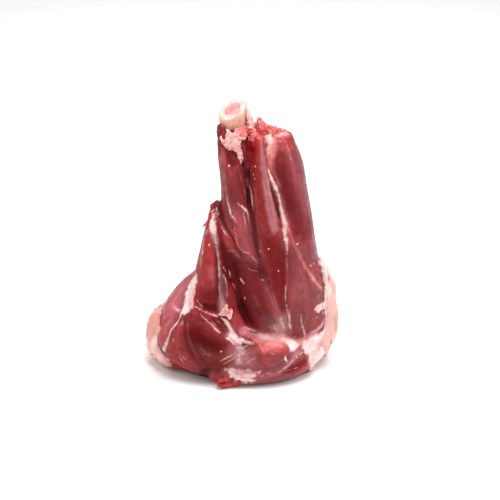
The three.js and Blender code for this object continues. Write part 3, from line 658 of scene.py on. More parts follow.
THIGH_LINES = {
    "septum_cut": ("dark", -0.8, [(181, 314, 1.1, 0.5), (175, 325, 1.3, 0.5), (168.6, 338, 1.3, 0.5),
        (164.4, 350, 1.1, 0.4)]),
    "septum": ("fat", 0.5, [(182, 311, 1.0, 1.0), (180, 317, 1.0, 1.0), (176.4, 323.4, 1.2, 1.0),
        (171.6, 330, 0.9, 1.0), (168.4, 338, 1.1, 1.0), (165.6, 345.4, 1.4, 1.0),
        (163.6, 352, 1.8, 1.0)], (0.05, 0.05)),
    "thigh_glint": ("fat", 0.1, [(173.6, 307, 0.6, 0.5), (177.4, 310, 0.8, 0.8), (180.6, 309.6, 0.6, 0.6)]),
    "belly_fold": ("dark", -1.2, [(184, 315, 1.8, 0.35), (183.4, 326, 2.4, 0.5), (185.6, 340, 2.8, 0.55),
        (191, 353, 2.8, 0.5), (198.6, 365, 2.2, 0.4)]),
    "belly_fold_2": ("dark", -0.8, [(189, 326, 1.2, 0.4), (191.6, 340, 1.5, 0.5), (198, 352, 1.4, 0.4),
        (207, 362, 1.2, 0.3)]),
    "belly_roll": ((150, 66, 62), 0.6, [(186.6, 318, 1.2, 0.4), (187, 330, 1.4, 0.5), (190, 344, 1.4, 0.5),
        (196, 356, 1.4, 0.5), (205, 366, 1.2, 0.3)]),
    "belly_sheen": ((186, 92, 92), 0.2, [(181.6, 320, 1.2, 0.5), (178, 332, 1.8, 0.5), (177.6, 346, 1.8, 0.4),
        (182, 360, 1.6, 0.3)]),
    "belly_crest": ("fat", 0.7, [(193.6, 304.4, 0.8, 0.6), (198, 307.6, 0.8, 0.7), (203.6, 311, 0.8, 0.65),
        (209.6, 313.6, 0.8, 0.75), (215, 315.4, 0.9, 0.85), (219.6, 317, 0.9, 0.9)]),
    "crest_groove": ("dark", -0.9, [(211, 317, 0.9, 0.5), (217, 323, 1.2, 0.8), (222, 329, 1.2, 0.8),
        (226, 334.6, 0.9, 0.5)]),
    # Painted highlights, laid as white fat, in streaks below the belly's crest.
    "crest_inner_painted_highlight": ("fat", 0.4, [(199, 312, 0.7, 0.4), (204, 318, 0.8, 0.6), (210, 324, 0.8, 0.5),
        (216.6, 330, 0.9, 0.65), (222.6, 335, 0.9, 0.5)]),
    "crest_bright": ("fat", 0.3, [(222, 317, 0.7, 0.9), (227, 321.6, 0.9, 1.0), (231, 328, 0.8, 0.9),
        (235, 334, 0.8, 0.9), (239.6, 338, 0.9, 0.85), (246, 340.4, 0.9, 0.8)]),
    "crest_spur": ("fat", 0.3, [(225, 338, 0.8, 0.5), (230, 340, 1.0, 0.65), (235.6, 346, 1.0, 0.6)]),
    # Painted highlights, laid as white fat, in three parallel streaks on the belly's lower left.
    "highlight_streak_a": ("fat", 0.12, [(166, 355, 0.6, 0.45), (169.6, 359.4, 0.7, 0.5), (174, 363.4, 0.6, 0.3)]),
    "highlight_streak_b": ("fat", 0.12, [(180, 352.6, 0.6, 0.3), (185, 358.4, 0.8, 0.45), (191, 363, 0.7, 0.35)]),
    "highlight_streak_c": ("fat", 0.12, [(178, 354, 0.6, 0.25), (181, 359, 0.7, 0.35), (186, 364.6, 0.6, 0.25)]),
    "fibre_d": ("fat", 0.1, [(176, 328, 0.6, 0.2), (173.6, 338, 0.7, 0.35), (173, 347, 0.6, 0.2)]),
    "fibre_e": ("dark", -0.4, [(176, 350, 1.0, 0.3), (181, 362, 1.0, 0.4), (190, 369, 0.9, 0.3)]),
    "fibre_f": ("fat", 0.12, [(200, 347, 0.6, 0.3), (205, 353, 0.7, 0.35), (212, 358, 0.6, 0.25)]),
    "fibre_g": ((150, 90, 60), 0.0, [(196, 340, 0.7, 0.3), (204, 350, 0.8, 0.4), (214, 357, 0.7, 0.3)]),
    "haze_streak_1": ("fat", 0.2, [(219, 362, 0.7, 0.3), (227, 357.6, 0.8, 0.6), (237, 351.6, 0.8, 0.5)]),
    "haze_streak_2": ("fat", 0.2, [(221, 365, 0.7, 0.3), (229, 361, 0.8, 0.5), (236, 357, 0.7, 0.4)]),
    "haze_streak_3": ("fat", 0.2, [(241, 350, 0.8, 0.6), (246, 346, 0.9, 0.6), (252, 343, 0.8, 0.5)]),
    "haze_streak_4": ("fat", 0.15, [(246, 364.6, 0.7, 0.4), (251, 360, 0.7, 0.5), (257, 357.4, 0.6, 0.3)]),
    "haze_streak_5": ("dark", -0.2, [(224, 358, 0.8, 0.25), (232, 354, 0.9, 0.3), (240, 349, 0.8, 0.2)]),
}

# The top of the foot, where the muscles meet, and the fold and fat at its right.
FOOT_SHADES = {
    "under_tab": ((160, 60, 62), 0.92, 0.2, 3, [(230, 317), (236, 311), (241, 318), (246, 327), (241, 331),
        (236, 334), (232.6, 326)]),
    "meeting": ((206, 122, 124), 0.85, 0.3, 3, [(241, 328), (248, 326.6), (256, 331), (259, 337), (248, 338.6),
        (240, 335)]),
    "meeting_lilac": ((196, 118, 126), 0.8, -0.3, 2.6, [(239.6, 329), (245, 327), (247, 331), (243, 337),
        (239.4, 336)]),
    "heel_of_seams": ((170, 122, 114), 0.85, 0.1, 5, [(272, 318), (280, 315), (288, 312), (291, 324), (290, 333),
        (283, 338), (274, 336), (269, 328)]),
    "slate_patch": ((92, 56, 58), 0.8, -0.1, 4, [(262, 314), (270, 314), (278, 320), (275, 326), (267, 323)]),
    "pink_band": ((240, 180, 182), 0.97, 0.1, 4.5, [(252, 333), (262, 333.6), (272, 335.6), (284, 336),
        (296, 339.6), (306, 338), (316, 332), (322, 337), (310, 344), (292, 345), (272, 343), (258, 342.6)]),
    "band_white": ((246, 210, 208), 0.85, 0.1, 5, [(259, 335), (270, 337), (284, 338), (292, 341), (286, 343),
        (272, 342.6), (260, 341)]),
    "white_wedge": ("fat", 1.0, 0.4, 1.8, [(284.6, 340.4), (291.6, 340.6), (300, 344), (297.6, 348), (293, 351.4),
        (290, 352), (288, 346)]),
    "wedge_mauve": ((186, 118, 134), 0.7, 0, 2.5, [(292, 352), (297, 348), (304, 346), (304, 350), (297, 356),
        (290, 358)]),
    "coral_left": ((216, 122, 124), 0.8, 0.2, 4.5, [(252, 337), (258, 338), (263, 343), (268, 352), (262, 352),
        (256, 344)]),
    "coral_fold": ((210, 98, 99), 0.9, 0.8, 5.5, [(257, 342.4), (266, 341.6), (276, 340.8), (283, 341.8),
        (287, 345.6), (288.6, 350), (284, 354), (276, 354.6), (266, 353)]),
    # Painted shade on the underside of the coral fold.
    "coral_low_painted_shade": ((164, 64, 66), 0.7, 0, 4, [(268, 353), (278, 354), (286, 353), (284, 360), (272, 361)]),
    "fold_wall": ((178, 68, 67), 0.85, 0.5, 2.6, [(255.6, 343), (260, 345), (265, 353), (269.4, 363), (268.6, 368),
        (265, 363), (260.4, 355)]),
    "fold_shade": ("dark", 0.35, -0.5, 3, [(252.6, 346), (257.6, 352), (262.4, 360), (264, 367), (260, 366),
        (256, 358)]),
    "low_right": ((150, 72, 75), 0.85, 0, 5, [(269, 356), (288, 358), (304, 354), (309, 361), (300, 370),
        (280, 377), (263, 380), (262, 371), (268, 364)]),
    "low_right_mauve": ((176, 106, 114), 0.6, 0, 3.5, [(278, 370), (290, 362), (300, 355), (303, 357), (292, 367),
        (280, 375)]),
    "lobe_cream": ((246, 216, 210), 1.0, 0.2, 2.4, [(310, 350), (320, 348.6), (328, 351), (327, 360), (318, 369),
        (311, 370), (310.6, 358)]),
    "band_end": ((240, 196, 190), 0.9, 0, 3, [(303, 342), (313, 338), (321, 333), (325, 330), (322, 340),
        (312, 348), (304, 348)]),
    # Painted shade in the crease at the foot's lower right.
    "low_crease_painted_shade": ((126, 22, 28), 0.85, -0.5, 2.4, [(283, 373), (290, 367.6), (298, 363), (306, 358), (308, 362),
        (301, 369), (291, 374)]),
    "fat_right": ("fat", 1.0, 0.5, 1.8, [(327, 318), (324.6, 326), (319, 333), (312.4, 338), (304, 342), (303, 347),
        (306, 353), (311.6, 356), (312, 366), (311, 370), (330, 366), (345, 340), (345, 318)]),
    "fat_right_peach": ((232, 178, 168), 0.95, 0, 3, [(330, 318), (327, 327), (320, 336), (312, 341), (322, 348),
        (330, 352), (345, 340), (345, 318)]),
    "pale_bottom": ((186, 102, 108), 0.6, 0, 3.5, [(252, 373), (268, 372), (282, 370), (280, 376), (262, 381),
        (250, 382)]),
    "bottom_patch": ("fat", 0.62, 0.3, 4, [(225, 369.4), (230, 368), (238, 370.4), (246, 370.6), (252, 370.6),
        (259, 372.8), (255.4, 377), (252.6, 381.4), (245, 382), (239, 380), (233, 378), (229, 373)], 2.4),
    "bottom_white": ("fat", 1.0, 0.4, 1.6, [(231, 373), (238, 374), (243, 377), (250, 378.6), (251.6, 381),
        (243, 381.4), (237, 379)], 2.0),
    "bottom_lilac": ((226, 190, 200), 0.4, 0, 2.5, [(229, 370), (240, 371), (252, 372), (250, 379), (240, 378),
        (233, 375)], 1.4),
}
FOOT_LINES = {
    "meeting_rag_1": ("fat", 0.4, [(243, 326, 0.7, 0.5), (249, 329, 0.9, 0.7), (256, 331, 0.8, 0.5)]),
    "meeting_rag_2": ((130, 50, 44), -0.5, [(249, 330.4, 0.7, 0.6), (254, 332, 0.8, 0.7),
        (257.6, 334.6, 0.6, 0.5)]),
    "fat_knot": ("fat", 0.5, [(242, 339, 1.0, 0.6), (246, 342, 1.8, 0.7), (250.6, 343, 1.6, 0.7),
        (255, 343.6, 1.0, 0.5)]),
    "fat_knot_red": ((222, 96, 84), 0.2, [(250, 339.6, 0.8, 0.8), (253.4, 341.6, 0.9, 0.8)]),
    "fold_edge": ((230, 112, 108), 0.5, [(251, 337.6, 0.8, 0.7), (257, 342, 1.0, 0.85), (261, 348.6, 0.8, 0.8),
        (265, 356, 0.7, 0.6)]),
    "ridge_line": ("fat", 0.4, [(305, 351, 0.7, 0.7), (297.4, 356.6, 0.7, 0.75), (289.4, 364, 0.7, 0.7),
        (281.4, 370.6, 0.6, 0.5)]),
    "ridge_shade": ("dark", -0.5, [(303, 357, 1.0, 0.3), (295, 363, 1.1, 0.4), (286, 371, 1.0, 0.3)]),
    "ridge_pink": ((206, 150, 158), 0.2, [(302, 350.6, 1.4, 0.5), (294, 357, 1.6, 0.5), (284, 366, 1.4, 0.4)]),
    # A painted glint, laid as white fat, in the shape of a hook.
    "glint_hook": ("fat", 0.2, [(284.6, 355, 0.5, 0.7), (285.4, 358.6, 0.7, 1.0), (287.4, 362.6, 0.5, 0.7)]),
    "glint_fold": ("fat", 0.1, [(270.8, 352.6, 0.5, 0.4), (272.6, 354.2, 0.6, 0.6), (275, 353.8, 0.5, 0.4)]),
    # A painted highlight along the middle of the coral fold.
    "coral_painted_highlight": ((244, 158, 156), 0.2, [(264, 344.6, 1.8, 0.5), (270.6, 344.4, 2.6, 0.7), (277, 345, 2.6, 0.65),
        (282.4, 347.4, 1.6, 0.4)]),
    "coral_end": ((176, 60, 62), 0, [(280, 351.6, 2.4, 0.6), (285.6, 350.6, 2.4, 0.8), (288, 347.4, 1.6, 0.6)]),
    "low_streak_1": ("fat", 0.12, [(266, 377, 0.7, 0.3), (276, 373, 0.9, 0.45), (290, 367, 0.7, 0.35)]),
    "low_streak_2": ("fat", 0.12, [(258, 378, 0.7, 0.4), (267, 374, 0.8, 0.4), (276, 371.4, 0.7, 0.3)]),
    "low_streak_3": ("fat", 0.1, [(270, 366, 0.6, 0.2), (278, 362.4, 0.7, 0.35), (285, 358, 0.6, 0.25)]),
    "low_streak_4": ("dark", -0.4, [(266, 380.4, 1.0, 0.3), (280, 376, 1.1, 0.4), (296, 370, 1.0, 0.35)]),
    "low_streak_5": ("fat", 0.1, [(284, 372, 0.6, 0.4), (294, 369.4, 0.7, 0.6), (300, 367.6, 0.6, 0.5)]),
    "tan_stalk_1": ("fat", 0.15, [(288, 311, 0.8, 0.4), (289.6, 320, 1.2, 0.5), (290.6, 330, 1.6, 0.5)]),
    "tan_stalk_2": ("fat", 0.15, [(279, 314, 0.8, 0.3), (281.6, 322, 1.2, 0.4), (284, 331, 1.4, 0.4)]),
    "tan_stalk_3": ("fat", 0.1, [(270, 318, 0.8, 0.2), (275, 327, 1.2, 0.35), (279, 334, 1.2, 0.35)]),
    "orange_dot": ((238, 150, 112), 0.3, [(280, 318.6, 0.9, 1.0), (282, 318.8, 0.9, 1.0)]),
    "fascia_ring": ((178, 124, 132), 0.3, [(324, 300, 1.2, 0.8), (324.4, 308, 1.6, 0.9), (324, 316, 2.0, 1.0),
        (321.6, 323, 2.0, 1.0), (317, 329, 2.0, 1.0), (310, 334, 1.9, 0.95), (303, 338, 1.6, 0.7)]),
    "ring_shade": ("dark", -0.2, [(324.6, 303, 1.2, 0.4), (325, 312, 1.2, 0.4), (322.6, 320, 1.2, 0.4),
        (316.6, 327.6, 1.2, 0.35)]),
    "fascia_ring_light": ((214, 168, 172), 0.1, [(324.4, 311, 0.6, 0.6), (322, 321, 0.7, 0.8),
        (317.6, 328, 0.7, 0.8), (311, 333, 0.7, 0.6)]),
    "lilac_tongue": ((196, 156, 172), 0.3, [(320.6, 311.6, 1.0, 0.7), (324, 313.6, 1.8, 0.85),
        (327, 315, 1.6, 0.8)]),
    "fat_stain_1": ((226, 96, 84), 0, [(329.6, 344, 1.0, 0.85), (330.6, 340.6, 0.8, 0.7)]),
    "fat_stain_2": ((232, 132, 108), 0, [(318.4, 351.6, 0.9, 0.8), (321, 351, 0.9, 0.8)]),
    "fat_crease_1": ((220, 140, 136), -0.5, [(306, 353.4, 0.9, 0.6), (313, 355, 1.0, 0.7), (320, 354.4, 0.9, 0.6)]),
    # Painted shade in two creases of the red tip.
    "tip_crease_painted_shade": ((120, 24, 28), -0.7, [(212, 381, 0.9, 0.6), (219, 383.6, 1.1, 0.85), (228, 383, 0.9, 0.7),
        (236, 382.6, 0.8, 0.5)]),
    "tip_crease_painted_shade_2": ((128, 30, 32), -0.5, [(221, 376, 0.8, 0.5), (223.6, 380, 0.9, 0.7), (224.6, 385, 0.8, 0.5)]),
    "small_vein": ((190, 112, 104), 0.1, [(303.4, 321.6, 0.7, 0.6), (306.4, 322.4, 0.7, 0.6)]),
}

for shades in (CALF_SHADES, FLAP_SHADES, THIGH_SHADES, FOOT_SHADES):
    for values in shades.values():
        patch(*values)
for lines in (CALF_LINES, FLAP_LINES, THIGH_LINES, FOOT_LINES):
    for values in lines.values():
        seam(*values)

# Painted shade along the seams between the muscles, except where pale tissue closes them.
covers["dark"] = np.maximum(covers["dark"], 0.4 * np.exp(-((seam_away / 0.8) ** 2)) * open_seams)

# White flecks, partly fat that clings here and there and partly painted glints.
FLECKS_AND_GLINTS = [(234.7, 228.5), (260.5, 250.5), (268.7, 248.6), (278.2, 271.1), (262, 279.7), (297.4, 243.8),
          (310.3, 265.3), (313.6, 262.9), (211.7, 265.3), (209.3, 244.3), (255.5, 166), (287, 153),
          (229, 165.6), (221.2, 351), (206, 292), (245, 298), (316, 317), (254.6, 178.6), (253, 174)]
for x, y in FLECKS_AND_GLINTS:
    seam("fat", 0.3, [(x - 0.4, y, 0.7, 1.0), (x + 0.4, y + 0.3, 0.7, 1.0)], BLUNT)

# Torn, granular tissue where the knife and the saw went through.
TORN_HALF_WIDTH = 3.0  # mm
TORN_STRENGTH = 0.8
TORN = {
    "beside_bone": [(247, 128), (251, 133), (256, 131), (257, 138)],
    "ridge": [(268, 127), (273, 129), (281, 131), (287, 132)],
    "flap_top": [(211, 210), (214, 213), (217, 216)],
}
for points in TORN.values():
    seam("shreds", 0, [(x, y, TORN_HALF_WIDTH, TORN_STRENGTH) for x, y in points], BLUNT)

# Fat from the cover laps over the edges of the meat in a ragged line.
from_fat = gaps_to(tree_of(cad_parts["fat_cover"].data), flesh, 6 * MM)
ragged = 1.1 * MM + 1.5 * MM * rough(flesh, 4 * MM, 21.0) + 0.8 * MM * rough(flesh, 1.6 * MM, 22.0)
covers["fat"] = np.maximum(covers["fat"], 0.95 * softly(ragged - from_fat, -0.5 * MM, 0.7 * MM))

# At the right its thin edge runs on over the calf, up to the rolled rim.
RIM_ROWS = (260, 268, 280, 296)  # heights in the picture
RIM_DEPTHS = (-9, -11.6, -13.6, -15.8)  # how far back the rim lies there, mm
RIM_STARTS, RIM_ENDS = (257, 264), (298, 308)  # heights in the picture over which it sets in and fades
RIM_SIDE = (34 * MM, 38 * MM)  # how far to the right it sets in
row = in_picture(flesh)[:, 1]
rim_depth = np.interp(row, RIM_ROWS, RIM_DEPTHS) * MM
thin_edge = softly(row, *RIM_STARTS) * (1 - softly(row, *RIM_ENDS)) * softly(flesh[:, 0], *RIM_SIDE)
thin_edge *= softly(flesh[:, 1] - rim_depth, -1 * MM, 1 * MM)
covers["fat"] = np.maximum(covers["fat"], 0.95 * softly(thin_edge + 0.5 * rough(flesh, 3 * MM, 23.0), 0.45, 0.75))

# How far the foot's right edge stands out of the plain shape, mm, row by row of the picture.
EDGE_ROWS = (250, 254, 257, 262, 268, 275, 284, 294, 312, 333, 340, 346, 358, 366, 376)
EDGE_OUT = (0, 0, 1.6, 1.7, 1.2, 0.6, 1.4, 0.7, 0.5, 0.6, -0.4, -2.0, -2.6, -1.4, 0)
LEAN_OUT = (0, 0, 0, 0, 0.3, 0.6, 1.4, 0.7, 0.5, 0.6, -0.4, -2.0, -2.6, -1.4, 0)


def trimmed(points, rows_out):
    """Moves what lies at the foot's right edge in or out to the real, lumpy outline."""
    out = np.interp(in_picture(points)[:, 1], EDGE_ROWS, rows_out) * softly(points[:, 0], 30 * MM, 50 * MM)
    return points + np.outer(out * MM, [1, 0, 0])


# The shape over the whole: soft lumps, bundles and threads along the fibres, torn ends.
relief += 0.35 * rough(flesh, 13 * MM, 3.1) + 0.12 * rough(flesh, 4 * MM, 5.1)
relief += coarse * (1.3 * bundles + 0.8 * threads)
relief -= 0.45 * np.exp(-((seam_away / 1.0) ** 2)) * open_seams
relief += covers["shreds"] * (0.9 * rough(flesh, 1.7 * MM, 6.0) + 0.5 * rough(flesh, 0.9 * MM, 6.5))
relief += 0.12 * covers["fat"] * rough(flesh, 1.4 * MM, 9.0)
relief += 0.5 * softly(2.2 * MM - from_fat, 0, 1.6 * MM)
relief[in_part[:, 2] < 0.6] = 0
flesh = trimmed(flesh + outward * (relief * MM)[:, None], LEAN_OUT)
moved(meat.data, flesh)

shade = 1 + 0.13 * rough(flesh, 15 * MM, 31.0) + 0.1 * bundles + 0.07 * rough(flesh, 3 * MM, 32.0)
paleness = softly(lean.sum(1), 300, 460)[:, None]
soaked = light_of(lean * shade[:, None]) * (DARK_SHARE + (PALE_SHARE - np.array(DARK_SHARE)) * paleness)
carry(meat.data, "lean", np.column_stack([soaked, np.ones(len(flesh))]))
carry(meat.data, "fibre", fibre * MM)
for cover, values in covers.items():
    carry(meat.data, cover, np.clip(values, 0, 1))


class Mix:
    """Short words for the nodes of a material, or of a group of nodes that materials share: each
    adds a node and gives back its result."""

    def __init__(self, name, group=False):
        if group:
            self.tree = bpy.data.node_groups.new(name, "ShaderNodeTree")
            return
        self.material = bpy.data.materials.new(name)
        self.material.use_nodes = True
        self.tree = self.material.node_tree
        self.surface = self.tree.nodes["Principled BSDF"]

    def takes(self, sockets):
        for name, kind in sockets.items():
            self.tree.interface.new_socket(name, in_out="INPUT", socket_type="NodeSocket" + kind)
        return self.tree.nodes.new("NodeGroupInput").outputs

    def gives(self, values):
        for name, value in values.items():
            kind = "NodeSocketColor" if value.type == "RGBA" else "NodeSocketFloat"
            self.tree.interface.new_socket(name, in_out="OUTPUT", socket_type=kind)
        end = self.tree.nodes.new("NodeGroupOutput")
        for name, value in values.items():
            self.tree.links.new(value, end.inputs[name])

    def feed(self, socket, value):
        if isinstance(value, bpy.types.NodeSocket):
            self.tree.links.new(value, socket)
        elif isinstance(value, (tuple, list, np.ndarray)) and socket.type == "RGBA":
            socket.default_value = (*value, 1)
        else:
            socket.default_value = value

    def node(self, kind, inputs=(), **settings):
        made = self.tree.nodes.new(kind)
        for key, value in settings.items():
            setattr(made, key, value)
        for key, value in dict(inputs).items():
            self.feed(made.inputs[key], value)
        return made

    def kept(self, name, result="Fac"):
        return self.node("ShaderNodeAttribute", attribute_name=name).outputs[result]

    def place(self):
        return self.node("ShaderNodeTexCoord").outputs["Object"]

    def scaled(self, vector, scale):
        return self.node("ShaderNodeMapping", {0: vector, 3: scale}).outputs[0]

    def clouds(self, vector, scale, detail=2.0, roughness=0.5, twist=0.0):
        values = {"Vector": vector, "Scale": scale, "Detail": detail, "Roughness": roughness, "Distortion": twist}
        return self.node("ShaderNodeTexNoise", values).outputs[0]

    def sum(self, first, *others):
        """first plus each other value times its share."""
        for value, share in others:
            first = self.node("ShaderNodeMath", {0: value, 1: share, 2: first}, operation="MULTIPLY_ADD").outputs[0]
        return first

    def times(self, a, b):
        return self.node("ShaderNodeMath", {0: a, 1: b}, operation="MULTIPLY").outputs[0]

    def eased(self, value, low, high, to_low=0.0, to_high=1.0):
        values = {0: value, 1: low, 2: high, 3: to_low, 4: to_high}
        return self.node("ShaderNodeMapRange", values, interpolation_type="SMOOTHSTEP").outputs[0]

    def over(self, amount, under, cover, blend="MIX"):
        values = {0: amount, 6: under, 7: cover}
        return self.node("ShaderNodeMix", values, data_type="RGBA", blend_type=blend).outputs[2]

    def mottled(self, vector, fine, broad, share, deep, middle, pale):
        """Clouded tissue: its colour, then its fine and its broad clouds."""
        values = {"Vector": vector, "Fine scale": fine, "Broad scale": broad, "Fine share": share,
                  "Deep": light_of(deep), "Middle": light_of(middle), "Pale": light_of(pale)}
        return self.node("ShaderNodeGroup", values, node_tree=mottling.tree).outputs

    def seeped(self, under, shown, mask, grain=0.0, share=0.0, low=0.0, high=1.0, strength=1.0):
        """A colour laid over another where a mask is, with an edge that a grain breaks up."""
        cover = shown if isinstance(shown, bpy.types.NodeSocket) else light_of(shown)
        values = {"Under": under, "Cover": cover, "Mask": mask, "Grain": grain, "Grain share": share,
                  "Low": low, "High": high, "Strength": strength}
        return self.node("ShaderNodeGroup", values, node_tree=seeping.tree).outputs[0]

    def bump(self, height, strength, distance, under=None):
        values = {"Height": height, "Strength": strength, "Distance": distance}
        if under is not None:
            values["Normal"] = under
        return self.node("ShaderNodeBump", values).outputs[0]

    def wet(self, roughness, soak, radius, depth, coat, coat_roughness, gleam=0.3):
        """A moist surface: light soaks in, and a clear film of juice lies on top."""
        self.feed(self.surface.inputs["Roughness"], roughness)
        self.surface.inputs["Subsurface Weight"].default_value = soak
        self.surface.inputs["Subsurface Radius"].default_value = radius
        self.surface.inputs["Subsurface Scale"].default_value = depth * MM
        self.feed(self.surface.inputs["Coat Weight"], coat)
        self.surface.inputs["Coat Roughness"].default_value = coat_roughness
        self.surface.inputs["Coat IOR"].default_value = 1.4
        self.surface.inputs["Specular IOR Level"].default_value = gleam


# Two groups of nodes that the wet tissues share: three shades that cloud into each other, and
# a colour that seeps over another.
mottling = Mix("mottled_tissue", group=True)
given = mottling.takes({"Vector": "Vector", "Fine scale": "Float", "Broad scale": "Float", "Fine share": "Float",
                        "Deep": "Color", "Middle": "Color", "Pale": "Color"})
fine = mottling.clouds(given["Vector"], given["Fine scale"], 4, 0.65, 0.4)
broad = mottling.clouds(given["Vector"], given["Broad scale"], 3, 0.5)
amount = mottling.node("ShaderNodeMix", {0: given["Fine share"], 2: broad, 3: fine}).outputs[0]
tone = mottling.over(mottling.eased(amount, 0.36, 0.5), given["Deep"], given["Middle"])
tone = mottling.over(mottling.eased(amount, 0.5, 0.64), tone, given["Pale"])
mottling.gives({"Color": tone, "Fine": fine, "Broad": broad})

seeping = Mix("seeped_colour", group=True)
given = seeping.takes({"Under": "Color", "Cover": "Color", "Mask": "Float", "Grain": "Float", "Grain share": "Float",
                       "Low": "Float", "High": "Float", "Strength": "Float"})
amount = seeping.eased(seeping.sum(given["Mask"], (given["Grain"], given["Grain share"])), given["Low"], given["High"])
amount = seeping.times(amount, given["Strength"])
seeping.gives({"Color": seeping.over(amount, given["Under"], given["Cover"])})

raw_meat = Mix("raw_meat")
along_fibre = raw_meat.kept("fibre", "Vector")
strands = raw_meat.clouds(raw_meat.scaled(along_fibre, (90, 1300, 1)), 1, 4, 0.62)
bands = raw_meat.clouds(raw_meat.scaled(along_fibre, (30, 380, 1)), 1, 3, 0.6, 0.5)
pale, mottle, grime = raw_meat.mottled(raw_meat.place(), 420, 130, 0.4, (208, 152, 150), (232, 197, 194),
                                       (246, 226, 224))
light = raw_meat.sum(0.3, (strands, 0.5), (bands, 0.35), (mottle, 0.45))
light_colour = raw_meat.node("ShaderNodeCombineXYZ", {0: light, 1: light, 2: light}).outputs[0]
tissue = raw_meat.over(1.0, raw_meat.kept("lean", "Color"), light_colour, "MULTIPLY")
film = raw_meat.sum(raw_meat.kept("film"), (strands, 0.25))
tissue = raw_meat.seeped(tissue, (158, 98, 108), film, grime, 0.5, 0.45, 1.25, 0.5)
laid_fat = raw_meat.kept("fat")
tissue = raw_meat.seeped(tissue, pale, raw_meat.sum(laid_fat, (mottle, 0.5)), strands, 0.5, 0.6, 1.35)
# Painted shade: near black where the cover of painted shade lies, in grooves, creases and hollows.
tissue = raw_meat.seeped(tissue, (46, 4, 8), raw_meat.kept("dark"), high=1.1, strength=0.85)
tissue = raw_meat.seeped(tissue, (242, 186, 180), mottle, low=0.5, high=0.68, strength=raw_meat.kept("shreds"))
raw_meat.feed(raw_meat.surface.inputs["Base Color"], tissue)
grainy = raw_meat.bump(raw_meat.sum(strands, (bands, 0.6)), 0.3, 0.4 * MM)
moist = raw_meat.bump(raw_meat.clouds(raw_meat.place(), 850, 4, 0.7), 0.5, 0.4 * MM, grainy)
raw_meat.feed(raw_meat.surface.inputs["Normal"], moist)
shine = raw_meat.eased(raw_meat.sum(mottle, (laid_fat, 0.15)), 0.46, 0.68, 0.12, 0.75)
shine = raw_meat.times(shine, raw_meat.eased(raw_meat.kept("dull"), 0.0, 0.8, 1.0, 0.0))
raw_meat.wet(raw_meat.eased(grime, 0.3, 0.7, 0.4, 0.6), 0.08, (1.0, 0.25, 0.2), 1.2, shine, 0.14, gleam=0.07)
meat.data.materials.append(raw_meat.material)
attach(meat, "root")
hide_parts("meat")

# ------------------------------------------------------------------ the fat cover
# The firm fat under the skin side of the leg, creamy pink with blood in its creases. It wraps
# the back of the foot, shows as a band at both sides, and is uneven where it was trimmed.

fat = remade("fat_cover", "fat_layer", 0.8 * MM, smoothing=6)
layer = points_of(fat.data)
out = normals_of(fat.data)
from_meat = gaps_to(skin_tree, layer, 5 * MM)
inner = 1 - softly(from_meat, 0.6 * MM, 1.6 * MM)
swell = 0.2 + 0.7 * rough(layer, 13 * MM, 2.0) + 0.4 * rough(layer, 5.5 * MM, 4.0)
swell += 0.25 * rough(layer * [1, 1, 0.45], 2.4 * MM, 6.0) + 0.12 * rough(layer, 1.1 * MM, 8.0)
folds = 1 - np.abs(rough(layer * [1, 1, 0.22], 8 * MM, 12.0)) * 4
swell -= 0.9 * np.clip(folds, 0, 1)
swell += 0.3 * rough(layer * [1, 1, 0.3], 1.3 * MM, 16.0)
swell += (0.7 - swell) * inner  # it clings to the meat under it
swell[layer[:, 2] < 0.6 * MM] = 0
layer = trimmed(layer + out * (swell * MM)[:, None], EDGE_OUT)
moved(fat.data, layer)
in_view = in_picture(layer)
carry(fat.data, "fold", np.clip(folds, 0, 1))
carry(fat.data, "thin", 1 - softly(from_meat, 0.8 * MM, 3.5 * MM))


def spots(place_in_view, marks):
    """How strongly a stain or bleached lobe shows: each a point of the picture and its half width
    and height there, in pixels."""
    shown = np.zeros(len(place_in_view))
    for x, y, wide, high in marks:
        away = np.hypot((place_in_view[:, 0] - x) / wide, (place_in_view[:, 1] - y) / high)
        shown = np.maximum(shown, 1 - softly(away, 0.3, 1.2))
    return shown


FAT_MARKS = {
    "stain": [(329, 279, 1.2, 7), (331, 342, 1.6, 4), (325, 356, 2.4, 2), (320, 351.6, 2, 1.4),
              (149.4, 340, 1.4, 1.4), (151, 355, 3, 2.4), (156, 360, 3, 1.6)],
    "white": [(324, 266, 5, 12), (328, 290, 4, 12), (316, 362, 7, 6), (155, 345, 6, 12), (160, 356, 5, 6)],
    "pale": [(331, 302, 9, 46)],
    "peach": [(156, 312, 12, 22), (150, 330, 8, 12), (338, 322, 4, 16)],
}
for mark, spread in FAT_MARKS.items():
    carry(fat.data, mark, spots(in_view, spread))

firm_fat = Mix("firm_fat")
grease, mottle, clouds = firm_fat.mottled(firm_fat.place(), 160, 45, 0.5, (208, 142, 130), (220, 166, 154),
                                          (230, 186, 178))
drips = firm_fat.clouds(firm_fat.scaled(firm_fat.place(), (260, 260, 60)), 1, 4, 0.6)
grease = firm_fat.seeped(grease, (234, 196, 188), drips, mottle, 0.3, 0.58, 0.82, 0.7)
grease = firm_fat.seeped(grease, (212, 166, 160), firm_fat.kept("pale"), mottle, 0.8, 0.4, 1.4, 0.75)
grease = firm_fat.seeped(grease, (238, 206, 202), firm_fat.kept("white"), drips, 0.8, 0.6, 1.3, 0.8)
grease = firm_fat.seeped(grease, (206, 140, 126), firm_fat.kept("peach"), mottle, 0.6, 0.3, 1.3, 0.8)
creased = firm_fat.times(firm_fat.kept("fold"), firm_fat.eased(clouds, 0.42, 0.66))
grease = firm_fat.seeped(grease, (204, 104, 96), creased, mottle, 1.0, 0.9, 1.6, 0.5)
grease = firm_fat.seeped(grease, (198, 58, 48), firm_fat.kept("stain"), mottle, 0.8, 0.6, 1.3, 0.8)
grease = firm_fat.seeped(grease, (196, 120, 118), firm_fat.kept("thin"), mottle, 0.8, 0.9, 1.6, 0.5)
